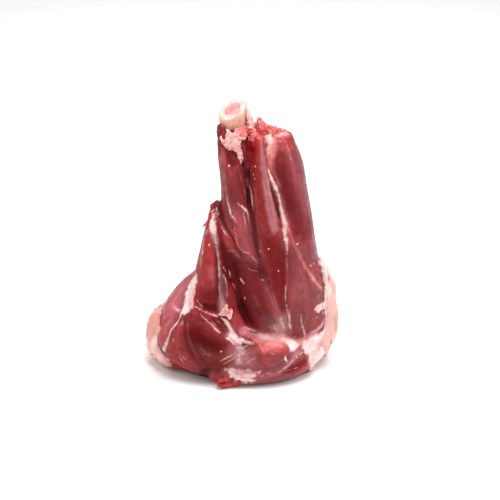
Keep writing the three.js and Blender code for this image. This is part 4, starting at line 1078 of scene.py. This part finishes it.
firm_fat.feed(firm_fat.surface.inputs["Base Color"], grease)
waxy = firm_fat.bump(firm_fat.sum(mottle, (drips, 0.9)), 0.45, 0.6 * MM)
firm_fat.feed(firm_fat.surface.inputs["Normal"], waxy)
firm_fat.wet(firm_fat.eased(mottle, 0.3, 0.7, 0.34, 0.5), 0.2, (1.0, 0.55, 0.45), 2.0, 0.25, 0.2, gleam=0.15)
fat.data.materials.append(firm_fat.material)
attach(fat, "root")
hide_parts("fat_cover")

# ------------------------------------------------------------------ the bone
# The shin bone, sawn across at the top: a hard pale rim round spongy bone and marrow, and a
# yellow-cream side with threads of the bone's own skin still on it.

bone = remade("shin_bone", "bone_shaft", 0.5 * MM, smoothing=1)
shaft = points_of(bone.data)
out = normals_of(bone.data)
ridged = 0.22 * rough(shaft * [1, 1, 0.25], 2.2 * MM, 1.0) + 0.3 * rough(shaft, 5 * MM, 2.0)
sawn_way = out[(shaft[:, 2] > 0.14) & (out[:, 2] > 0.7)].mean(0)
facing_up = out @ sawn_way / np.linalg.norm(sawn_way) * (shaft[:, 2] > 0.13)
sawn = softly(facing_up, 0.6, 0.85)
ridged = np.where(sawn > 0.5, 0.15 * rough(shaft, 0.9 * MM, 5.0), ridged)
SAWN_FROM, SAWN_TO = 126 * MM, 146 * MM  # the height over which the reshaping sets in
SAWN_MIDDLE = (-4 * MM, 2 * MM)
SAWN_BACK = 8 * MM  # from the middle to the far edge
SAWN_LIFT = 0.2 * MM
SAWN_SLOPE = 0.1  # how much more the sawn end rises to the right than the plain shape's
SAWN_LEVEL = 0.12  # how much less it drops to the front
CORNERS = (math.radians(48), math.radians(-38))  # the way the bone's corners point, from straight right
CORNER_OUT = 1.5 * MM
CORNER_NARROW = 8  # the power that keeps a corner narrow


def sawn_off(points):
    """Tips the sawn end up at its right, levels it and draws out the bone's two right corners."""
    share = softly(points[:, 2], SAWN_FROM, SAWN_TO)
    across, back = points[:, 0] - SAWN_MIDDLE[0], points[:, 1] - SAWN_MIDDLE[1]
    rise = (across * SAWN_SLOPE + (SAWN_BACK - back) * SAWN_LEVEL + SAWN_LIFT) * share
    points = points + np.outer(rise, [0, 0, 1])
    for way in CORNERS:
        drawn = np.clip(np.cos(np.arctan2(back, across) - way), 0, 1) ** CORNER_NARROW
        drawn *= softly(np.hypot(across, back), 4 * MM, 7 * MM) * share
        points = points + CORNER_OUT * np.outer(drawn, [math.cos(way), math.sin(way), 0])
    return points


from_pith = gaps_to(tree_of(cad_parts["marrow"].data), shaft, 9 * MM)
shaft = sawn_off(shaft + out * (ridged * MM)[:, None])
moved(bone.data, shaft)
sawn = np.maximum(sawn, (from_pith < 1.6 * MM) * 1.0)
carry(bone.data, "sawn", sawn)
carry(bone.data, "spongy", 1 - softly(from_pith, 0.2 * MM, 2.2 * MM))
carry(bone.data, "low", 1 - softly(shaft[:, 2], 0.134, 0.146))
# A thin line of blood round the far and right edge of the sawn face.
back_edge = softly(shaft[:, 0] * 0.6 + shaft[:, 1], 2 * MM, 6 * MM)
carry(bone.data, "rim", softly(facing_up, 0.4, 0.65) * (1 - softly(facing_up, 0.93, 0.985)) * back_edge)

sawn_bone = Mix("sawn_bone")
stretched = sawn_bone.scaled(sawn_bone.place(), (0.7, 0.7, 0.35))
side, threads, patches = sawn_bone.mottled(stretched, 520, 180, 0.35, (206, 148, 124), (221, 172, 149),
                                           (230, 193, 174))
side = sawn_bone.seeped(side, (206, 122, 108), sawn_bone.kept("low"), patches, 0.5, 0.3, 1.3, 0.7)
face, pores, clouds = sawn_bone.mottled(sawn_bone.place(), 900, 220, 0.6, (206, 134, 130), (224, 184, 176),
                                        (232, 206, 198))
face = sawn_bone.seeped(face, (226, 156, 152), sawn_bone.kept("spongy"), pores, 1.1, 0.6, 1.4, 0.9)
face = sawn_bone.seeped(face, (206, 84, 82), sawn_bone.kept("rim"), pores, 0.7, 0.7, 1.3, 0.75)
sawn_bone.feed(sawn_bone.surface.inputs["Base Color"], sawn_bone.over(sawn_bone.kept("sawn"), side, face))
sawn_bone.feed(sawn_bone.surface.inputs["Normal"], sawn_bone.bump(sawn_bone.sum(pores, (threads, 0.6)), 0.4, 0.4 * MM))
sawn_bone.wet(sawn_bone.eased(clouds, 0.3, 0.7, 0.32, 0.5), 0.15, (1.0, 0.7, 0.5), 1.0, 0.2, 0.2, gleam=0.15)
bone.data.materials.append(sawn_bone.material)
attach(bone, "root")
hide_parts("shin_bone")

# ------------------------------------------------------------------ the marrow
# Soft pink marrow that fills the middle of the bone, smeared and torn by the saw.

marrow = remade("marrow", "bone_marrow", 0.4 * MM, smoothing=1)
core = points_of(marrow.data)
out = normals_of(marrow.data)
swell = 0.3 + 0.2 * rough(core, 1.2 * MM, 4.0) + 0.15 * rough(core, 3 * MM, 2.0)
moved(marrow.data, sawn_off(core + out * (MM * swell)[:, None]))
from_shaft = gaps_to(tree_of(bone.data), core, 4 * MM)
carry(marrow.data, "edge", 1 - softly(from_shaft, 0.2 * MM, 1.6 * MM))

soft_marrow = Mix("soft_marrow")
pith, crumbs, smear = soft_marrow.mottled(soft_marrow.place(), 800, 260, 0.5, (196, 92, 98), (218, 124, 127),
                                          (228, 160, 156))
pith = soft_marrow.seeped(pith, (226, 158, 154), soft_marrow.kept("edge"), smear, 1.4, 0.8, 1.8, 0.8)
soft_marrow.feed(soft_marrow.surface.inputs["Base Color"], pith)
soft_marrow.feed(soft_marrow.surface.inputs["Normal"], soft_marrow.bump(crumbs, 0.5, 0.4 * MM))
soft_marrow.wet(0.36, 0.25, (1.0, 0.45, 0.4), 1.2, 0.3, 0.2, gleam=0.15)
marrow.data.materials.append(soft_marrow.material)
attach(marrow, "root")
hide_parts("marrow")

# ------------------------------------------------------------------ ends and tatters at the top
# Round the sawn bone the meat was cut through: the dark end of the shin muscle at the left, a
# tatter of wet fat that hangs from the bone, a strip of its skin at the right, a sinew block
# and the torn red peak beside it.


def in_space(x, y, depth):
    """The point seen at x, y of the picture that lies depth mm back from the middle."""
    line = sight_line(x, y)
    return eye + line * ((depth * MM - eye.y) / line.y)


def lump(name, balls, face, softened, wrinkles):
    """A soft lump of tissue, built up of balls: place in the picture, depth and radius, mm.
    wrinkles are pairs of height and size, mm."""
    shape = bmesh.new()
    for (x, y, depth, radius), (x2, y2, depth2, radius2) in zip(balls, balls[1:] + balls[-1:]):
        start, end = in_space(x, y, depth), in_space(x2, y2, depth2)
        steps = max(1, int((end - start).length / (0.5 * min(radius, radius2) * MM)))
        for step in range(steps):
            share = step / steps
            ball = bmesh.ops.create_icosphere(shape, subdivisions=2, radius=(radius + (radius2 - radius) * share) * MM)
            bmesh.ops.translate(shape, verts=ball["verts"], vec=start.lerp(end, share))
    made = bpy.data.objects.new(name, bpy.data.meshes.new(name))
    shape.to_mesh(made.data)
    shape.free()
    scene.collection.objects.link(made)
    evened(made, face * MM, softened)
    at = points_of(made.data)
    swollen = sum(height * rough(at, size * MM, 3.3 + size) for height, size in wrinkles)
    moved(made.data, at + normals_of(made.data) * (swollen * MM)[:, None])
    return made


def tree_over(pieces):
    """A search tree over the faces of several objects."""
    faces = bmesh.new()
    for piece in pieces:
        faces.from_mesh(piece.data)
    tree = BVHTree.FromBMesh(faces)
    faces.free()
    return tree


rest_tree = tree_over((meat, bone, fat))
ROW_STEP = 0.87  # rows of triangles with even sides lie this share of a side apart


def flake(name, outline, thickness, lift=0.0, sink=0.7, spacing=0.8, ragged=0.5, wrinkles=((0.15, 1.5),), hang=6,
          stains=(), curl=(0, 1, 0)):
    """A thin scrap that lies on what is behind it: outline in the picture, thickness and lift
    off the surface in mm. It bridges hollows, the more so the larger hang is. Stains are points
    of the picture and a half width in pixels. curl is two heights in the picture and how far the
    scrap lifts off between them, mm."""
    loop = curve_through(list(outline) + [outline[0]], 12)
    steps = np.concatenate([[0], np.cumsum(np.linalg.norm(np.diff(loop, axis=0), axis=1))])
    count = max(8, int(steps[-1] / spacing))
    even = np.linspace(0, steps[-1], count, endpoint=False)
    rim = np.stack([np.interp(even, steps, loop[:, 0]), np.interp(even, steps, loop[:, 1])], axis=1)
    spread = np.column_stack([rim, np.zeros(count)])
    rim += ragged * np.stack([rough(spread, 3.1, 1.5), rough(spread, 3.1, 9.5)], axis=1)
    rim += 0.5 * ragged * np.stack([rough(spread, 1.3, 2.5), rough(spread, 1.3, 8.5)], axis=1)
    low, high = rim.min(0), rim.max(0)
    grid = [
        (x + (0.5 * spacing if row % 2 else 0), y)
        for row, y in enumerate(np.arange(low[1], high[1], spacing * ROW_STEP))
        for x in np.arange(low[0], high[0], spacing)
    ]
    inner = np.array(grid)
    within, away = within_outline(rim, inner)
    inner = inner[within & (away > 0.5 * spacing)]
    flat = [Vector(p) for p in np.vstack([rim, inner])]
    ring = [(i, (i + 1) % count) for i in range(count)]
    net = geometry.delaunay_2d_cdt(flat, ring, [], 1, 1e-6)
    at, triangles = np.array([tuple(v) for v in net[0]]), net[2]
    from_rim = within_outline(rim, at)[1]
    sights = [sight_line(x, y) for x, y in at]
    behind = [rest_tree.ray_cast(eye, line)[3] for line in sights]
    known = [d for d in behind if d is not None]
    behind = np.array([np.median(known) if d is None else d for d in behind])
    links = np.array([(a, b) for t in triangles for a, b in zip(t, t[1:] + t[:1])])
    ways = np.zeros(len(at))
    np.add.at(ways, links[:, 0], 1)
    np.add.at(ways, links[:, 1], 1)
    for _ in range(hang):
        total = np.zeros(len(at))
        np.add.at(total, links[:, 0], behind[links[:, 1]])
        np.add.at(total, links[:, 1], behind[links[:, 0]])
        behind = np.minimum(behind, 0.5 * behind + 0.5 * total / ways)
    rounded = np.sqrt(1 - (1 - np.clip(from_rim * PIXEL / MM / thickness, 0, 1)) ** 2)
    resting = np.array([tuple(eye + line * d) for line, d in zip(sights, behind)])
    height = thickness * rounded + lift + curl[2] * softly(at[:, 1], curl[0], curl[1])
    for wrinkle, size in wrinkles:
        height = height + wrinkle * rounded * rough(resting, size * MM, 4.4 + size)
    top = [tuple(eye + line * (d - h * MM)) for line, d, h in zip(sights, behind, height)]
    below = np.where(height - thickness * rounded > 0.5, thickness * 0.6 - height, sink)
    under = [tuple(eye + line * (d + s * MM)) for line, d, s in zip(sights, behind, below)]
    mesh = bpy.data.meshes.new(name)
    last = len(at)
    edge_count = {}
    for t in triangles:
        for a, b in zip(t, t[1:] + t[:1]):
            edge_count[(a, b)] = edge_count.get((a, b), 0) + 1
    border = [pair for pair in edge_count if (pair[1], pair[0]) not in edge_count]
    faces = [tuple(t) for t in triangles] + [tuple(last + i for i in reversed(t)) for t in triangles]
    faces += [(b, a, last + a, last + b) for a, b in border]
    mesh.from_pydata(top + under, [], faces)
    shape = bmesh.new()
    shape.from_mesh(mesh)
    bmesh.ops.recalc_face_normals(shape, faces=shape.faces)
    shape.to_mesh(mesh)
    shape.free()
    shaded_smooth(mesh)
    carry(mesh, "rim", np.concatenate([1 - softly(from_rim, 0.3, 2.0)] * 2))
    bloody = spots(at, [(x, y, wide, wide) for x, y, wide in stains])
    carry(mesh, "stain", np.concatenate([bloody, bloody]))
    made = bpy.data.objects.new(name, mesh)
    scene.collection.objects.link(made)
    return made


def soft_fat(name, deep, middle, pale, edge):
    """Wet fat, gristle or torn flesh, in shades from its hollows to its edges."""
    made = Mix(name)
    tone, mottle, clouds = made.mottled(made.place(), 520, 170, 0.55, deep, middle, pale)
    tone = made.seeped(tone, edge, made.kept("rim"), mottle, 0.8, 0.6, 1.4, 0.6)
    tone = made.seeped(tone, (206, 70, 50), made.kept("stain"), mottle, 0.6, 0.5, 1.2)
    made.feed(made.surface.inputs["Base Color"], tone)
    made.feed(made.surface.inputs["Normal"], made.bump(mottle, 0.45, 0.5 * MM))
    made.wet(made.eased(mottle, 0.3, 0.7, 0.25, 0.42), 0.15, (1.0, 0.5, 0.45), 1.2, 0.4, 0.12, gleam=0.15)
    return made.material


def finished(piece, material):
    """Gives a piece its finish and fixes it to the shank."""
    piece.data.materials.append(material)
    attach(piece, "root")


wet_fat = soft_fat("wet_fat", (188, 106, 106), (218, 156, 152), (236, 196, 192), (230, 176, 170))
pale_fat = soft_fat("pale_fat", (206, 150, 148), (232, 190, 186), (246, 222, 218), (240, 204, 200))
white_fat = soft_fat("white_fat", (206, 146, 144), (232, 198, 194), (244, 224, 220), (226, 176, 172))
strip_fat = soft_fat("strip_fat", (208, 130, 126), (230, 174, 168), (238, 204, 198), (232, 156, 152))
torn_pink = soft_fat("torn_pink", (176, 56, 58), (206, 88, 87), (232, 142, 138), (206, 62, 60))
red_shred = soft_fat("red_shred", (118, 28, 32), (156, 54, 56), (188, 88, 88), (170, 70, 70))
dark_flesh = soft_fat("dark_flesh", (66, 16, 22), (100, 34, 40), (140, 72, 78), (110, 38, 44))
pink_gristle = soft_fat("pink_gristle", (200, 98, 98), (220, 124, 122), (230, 158, 154), (214, 118, 116))
tab_fat = soft_fat("tab_fat", (190, 126, 116), (214, 160, 150), (228, 188, 178), (240, 208, 200))

finished(lump("shin_end", [
    (220.4, 127.6, -3, 2.2), (221.2, 130.6, -4, 2.6), (220.8, 135, -5, 2.3), (220.4, 139, -6, 1.6),
], 0.4, 5, ((0.3, 2.4), (0.12, 0.9))), dark_flesh)
finished(flake("sinew_block", [
    (234, 131.4), (236.6, 128.4), (241, 126.8), (247, 125), (250.4, 127.4), (250.6, 132), (249, 136.4),
    (245, 138.4), (239.6, 138), (235.6, 135.4),
], 0.5, hang=60, ragged=1.6, wrinkles=((0.7, 4), (0.4, 1.8), (0.2, 0.9))), pink_gristle)
finished(flake("fat_tatter", [
    (226.8, 128.8), (229.6, 129), (231.8, 132.2), (237.3, 133), (240, 136.6), (245, 137.6), (244.6, 140),
    (241.5, 140.8), (240.6, 144), (241.4, 150), (243.3, 157), (242.4, 162.4), (240.6, 164), (239, 162.8),
    (238, 159), (236.6, 154.4), (233, 150.8), (228.4, 150), (224.6, 147), (221.6, 143), (220, 138), (220.4, 135.6),
    (222, 136.6), (223.8, 139.4), (225, 137), (225.8, 132.5),
], 1.2, lift=0.3, hang=30, spacing=0.65, ragged=1.3, wrinkles=((1.0, 3.6), (0.4, 1.7), (0.12, 0.8))), wet_fat)
finished(lump("bone_strip", [
    (246.8, 109, -0.6, 0.7), (248, 112.6, -1, 1.0), (248.8, 116.4, -1.6, 1.4), (249.6, 120, -2, 1.2),
    (250.2, 123.8, -2.4, 1.6), (250.6, 127, -2.8, 1.4),
], 0.32, 2, ((0.8, 2.0), (0.45, 0.9))), strip_fat)
finished(lump("torn_peak", [
    (258.8, 118.4, 0.6, 0.7), (259.8, 121, 0.2, 1.5), (260.8, 124, 0.2, 2.3), (261, 127.6, 0.2, 3.0),
    (262, 132.4, 0.6, 3.0), (265, 129, 0.4, 2.8), (263.6, 125, 0.4, 1.8), (266.4, 127.6, 0.6, 2.3),
    (268.4, 131.4, 0.6, 2.8), (270, 128.8, 0.8, 2.2), (273, 131.6, 1, 2.6), (276, 130.2, 1, 2.1),
    (280.6, 131.6, 1, 2.0), (285, 132.4, 1, 1.6), (289, 133.4, 1, 1.0),
], 0.34, 3, ((0.75, 2.6), (0.45, 1.3), (0.2, 0.7))), torn_pink)
finished(lump("torn_lip", [
    (256.4, 124.6, 1.6, 0.6), (256.8, 127.6, 1.4, 1.1), (257.6, 131, 1, 1.5), (258.6, 135, 0.6, 1.6),
], 0.4, 3, ((0.4, 2.0), (0.2, 0.9))), torn_pink)
finished(lump("ridge_fat", [
    (273.6, 128, 1.6, 0.4), (275.6, 127.2, 1.6, 0.7), (278, 127.6, 1.6, 0.8), (280.4, 128.8, 1.6, 0.7),
    (282, 129.8, 1.6, 0.4),
], 0.3, 1, ((0.35, 1.2), (0.15, 0.6))), pale_fat)
finished(lump("torn_bed", [
    (246.8, 130.6, -1.4, 1.5), (248.6, 128.6, -1.6, 1.6), (251.4, 131, -2.2, 2.1), (254, 133.6, -3.6, 2.3),
    (254.6, 137.4, -7.4, 1.9), (251, 138.6, -5.4, 1.6),
], 0.36, 3, ((0.7, 2.2), (0.4, 1.1))), torn_pink)

# ------------------------------------------------------------------ scraps on the flap and foot
# A curled tab of fat where the flap's silver stripe ends, the flap's own torn tip, a shred and
# a nub on it, and at the right a torn end of film and the rolled rim of the fat cover.

finished(flake("fat_tab", [
    (217.4, 314.4), (220.6, 311.6), (223, 307.6), (225.4, 304.6), (227.4, 303.8), (229.6, 306.4), (231.4, 308.2),
    (233, 311.8), (232.2, 315.4), (230.6, 319.4), (228.8, 319.8), (227.6, 317), (225, 315.4), (220.4, 315.8),
], 0.55, lift=-0.35, hang=10, sink=0.6, ragged=0.7, curl=(306, 319, 1.5), wrinkles=((0.5, 3.0), (0.25, 1.2)),
    stains=[(230.4, 309.6, 2.2), (229, 312.4, 1.6)]), tab_fat)
finished(lump("flap_tip", [
    (213.4, 203.4, -8, 0.8), (212.4, 207, -9, 1.4), (213, 210.6, -10, 1.7), (213.6, 214.6, -11, 1.6),
    (213.6, 218, -12, 1.2),
], 0.35, 2, ((0.6, 1.9), (0.35, 0.9))), red_shred)
finished(lump("flap_shred", [
    (202.6, 226.8, -9, 0.35), (204.6, 225, -9.4, 0.7), (207.4, 222.4, -10, 0.9), (209.8, 219, -10.6, 1.0),
], 0.3, 1, ((0.35, 1.2),)), torn_pink)
finished(lump("strip_nub", [
    (232.6, 284, -26.2, 0.6), (234.2, 286.4, -26.4, 0.75), (235, 289, -26.6, 0.45),
], 0.35, 3, ((0.2, 1.2),)), red_shred)
finished(flake("torn_film", [
    (313.6, 309.2), (315, 307.2), (317, 305.2), (320.6, 304.2), (323.4, 301.4), (325, 297), (327.2, 297.4),
    (327.4, 303), (326, 307.6), (323, 310), (320.4, 311.2), (318.8, 313.4), (317.2, 312), (315.6, 313),
    (315.4, 311),
], 0.4, lift=-0.15, hang=12, sink=0.5, spacing=0.6, ragged=1.1, curl=(304, 313, 0.5),
    wrinkles=((0.5, 2.0), (0.3, 0.9))), strip_fat)
finished(lump("edge_roll", [
    (320.8, 259.6, -9, 1.3), (321.8, 263, -10.6, 1.8), (322.6, 268, -11.6, 2.0), (323.6, 274, -12.8, 1.8),
    (324.6, 280, -13.6, 1.4), (325.4, 288, -14.8, 1.0), (325.4, 296, -15.8, 0.8), (324.6, 302, -16.4, 0.6),
], 0.42, 3, ((0.6, 2.6), (0.4, 1.1))), white_fat)

# ------------------------------------------------------------------ crumbs of fat
# Grains of fat and gristle that cling to the torn tissue round the bone and on the flap's tip.
# Each is a small ball, stretched and turned its own way, on a point of what shows there.

CRUMB_SIZE = 0.42 * MM
DEEPEST = 20 * MM  # how far back a crumb may lie
CRUMB_AREAS = {  # left, top, right and bottom in the picture, then how many crumbs
    "beside_bone": (245, 128, 258, 141, 24), "peak": (257, 120, 263, 128, 7), "ridge": (273, 127, 283, 131, 12),
    "calf_cut": (274, 130, 288, 136, 10), "flap_top": (209, 206, 219, 222, 16),
}
crumb_tree = tree_over([piece for piece in scene.objects
                        if piece.type == "MESH" and not piece.hide_render and piece.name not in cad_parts])
dice = np.random.default_rng(7)
crumb_points = []
for x1, y1, x2, y2, count in CRUMB_AREAS.values():
    for _ in range(count):
        hit = crumb_tree.ray_cast(eye, sight_line(dice.uniform(x1, x2), dice.uniform(y1, y2)))[0]
        if hit is not None and hit.y < DEEPEST:
            crumb_points.append(hit[:])
crumbs = bpy.data.objects.new("fat_crumbs", bpy.data.meshes.new("fat_crumbs"))
crumbs.data.from_pydata(crumb_points, [], [])
scene.collection.objects.link(crumbs)

crumb_tree_nodes = bpy.data.node_groups.new("scattered_crumbs", "GeometryNodeTree")
crumb_face = crumb_tree_nodes.interface
crumb_face.new_socket("Geometry", in_out="INPUT", socket_type="NodeSocketGeometry")
size_socket = crumb_face.new_socket("Crumb size", in_out="INPUT", socket_type="NodeSocketFloat")
finish_socket = crumb_face.new_socket("Finish", in_out="INPUT", socket_type="NodeSocketMaterial")
crumb_face.new_socket("Geometry", in_out="OUTPUT", socket_type="NodeSocketGeometry")


def dealt(lowest, highest, seed):
    """A node that gives each crumb its own values between two."""
    made = crumb_tree_nodes.nodes.new("FunctionNodeRandomValue")
    made.data_type = "FLOAT_VECTOR"
    made.inputs[0].default_value, made.inputs[1].default_value = lowest, highest
    made.inputs["Seed"].default_value = seed
    return made


given, result, grain, spread, real, painted = map(crumb_tree_nodes.nodes.new, (
    "NodeGroupInput", "NodeGroupOutput", "GeometryNodeMeshIcoSphere", "GeometryNodeInstanceOnPoints",
    "GeometryNodeRealizeInstances", "GeometryNodeSetMaterial"))
grain.inputs["Subdivisions"].default_value = 2
turn = dealt((0, 0, 0), (math.tau, math.tau, math.tau), 3)
stretch = dealt((0.4, 0.4, 0.3), (1.5, 1.1, 0.8), 5)
for start, out_of, end, into in (
    (given, "Geometry", spread, "Points"), (given, "Crumb size", grain, "Radius"),
    (grain, "Mesh", spread, "Instance"), (turn, "Value", spread, "Rotation"),
    (stretch, "Value", spread, "Scale"), (spread, "Instances", real, "Geometry"),
    (real, "Geometry", painted, "Geometry"), (given, "Finish", painted, "Material"),
    (painted, "Geometry", result, "Geometry"),
):
    crumb_tree_nodes.links.new(start.outputs[out_of], end.inputs[into])
scatter = crumbs.modifiers.new("scatter", "NODES")
scatter.node_group = crumb_tree_nodes
scatter[size_socket.identifier] = CRUMB_SIZE
scatter[finish_socket.identifier] = pale_fat
settled = crumbs.evaluated_get(bpy.context.evaluated_depsgraph_get())
crumb_mesh = bpy.data.meshes.new_from_object(settled)
crumbs.modifiers.clear()
crumbs.data = crumb_mesh
shaded_smooth(crumb_mesh)
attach(crumbs, "root")

# ------------------------------------------------------------------ the studio
# A plain pale floor and large soft lamps overhead, at both sides, in front, behind and far off.
# The floor glows a little further out, so that it fades into the pale room.

FLOOR_HALF = 4.0  # m
FLOOR_GLOW = 0.6
GLOW_FROM, GLOW_TO = 0.5, 2.5  # m from the shank
ROOM_LIGHT = 0.45
LIT_POINT = Vector((0, 0, 0.07))

floor_mesh = bpy.data.meshes.new("floor")
floor_corners = [(x * FLOOR_HALF, y * FLOOR_HALF, 0) for x, y in ((-1, -1), (1, -1), (1, 1), (-1, 1))]
floor_mesh.from_pydata(floor_corners, [], [(0, 1, 2, 3)])
floor = bpy.data.objects.new("floor", floor_mesh)
floor.location.z = -0.05 * MM  # just clear of the flat cut face
scene.collection.objects.link(floor)
paper = Mix("paper")
paper.surface.inputs["Base Color"].default_value = (0.94, 0.94, 0.94, 1)
paper.surface.inputs["Roughness"].default_value = 0.85
paper.surface.inputs["Emission Color"].default_value = (1, 1, 1, 1)
far_off = paper.node("ShaderNodeVectorMath", {0: paper.place()}, operation="LENGTH").outputs["Value"]
paper.feed(paper.surface.inputs["Emission Strength"], paper.eased(far_off, GLOW_FROM, GLOW_TO, 0.0, FLOOR_GLOW))
floor_mesh.materials.append(paper.material)

LAMPS = {  # place and width in metres, then power in watts
    "overhead": ((0.1, -0.12, 0.85), 0.45, 6.4),
    "right": ((0.6, -0.25, 0.55), 0.3, 1.95),
    "left": ((-0.6, -0.15, 0.6), 0.3, 1.25),
    "front": ((-0.1, -0.9, 0.45), 0.3, 0.6),
    "back": ((0.05, 0.75, 0.6), 0.5, 2.4),
    "far": ((0.0, 2.4, 1.4), 1.2, 10.0),
}
for name, (spot, size, power) in LAMPS.items():
    lamp = bpy.data.lights.new(name, "AREA")
    lamp.size = size
    lamp.energy = power
    light = bpy.data.objects.new(name, lamp)
    light.location = spot
    light.rotation_euler = (LIT_POINT - light.location).to_track_quat("-Z", "Y").to_euler()
    scene.collection.objects.link(light)

studio = bpy.data.worlds.new("studio")
studio.use_nodes = True
studio.node_tree.nodes["Background"].inputs[0].default_value = (1, 1, 1, 1)
studio.node_tree.nodes["Background"].inputs[1].default_value = ROOM_LIGHT
scene.world = studio
scene.view_settings.view_transform = "Standard"
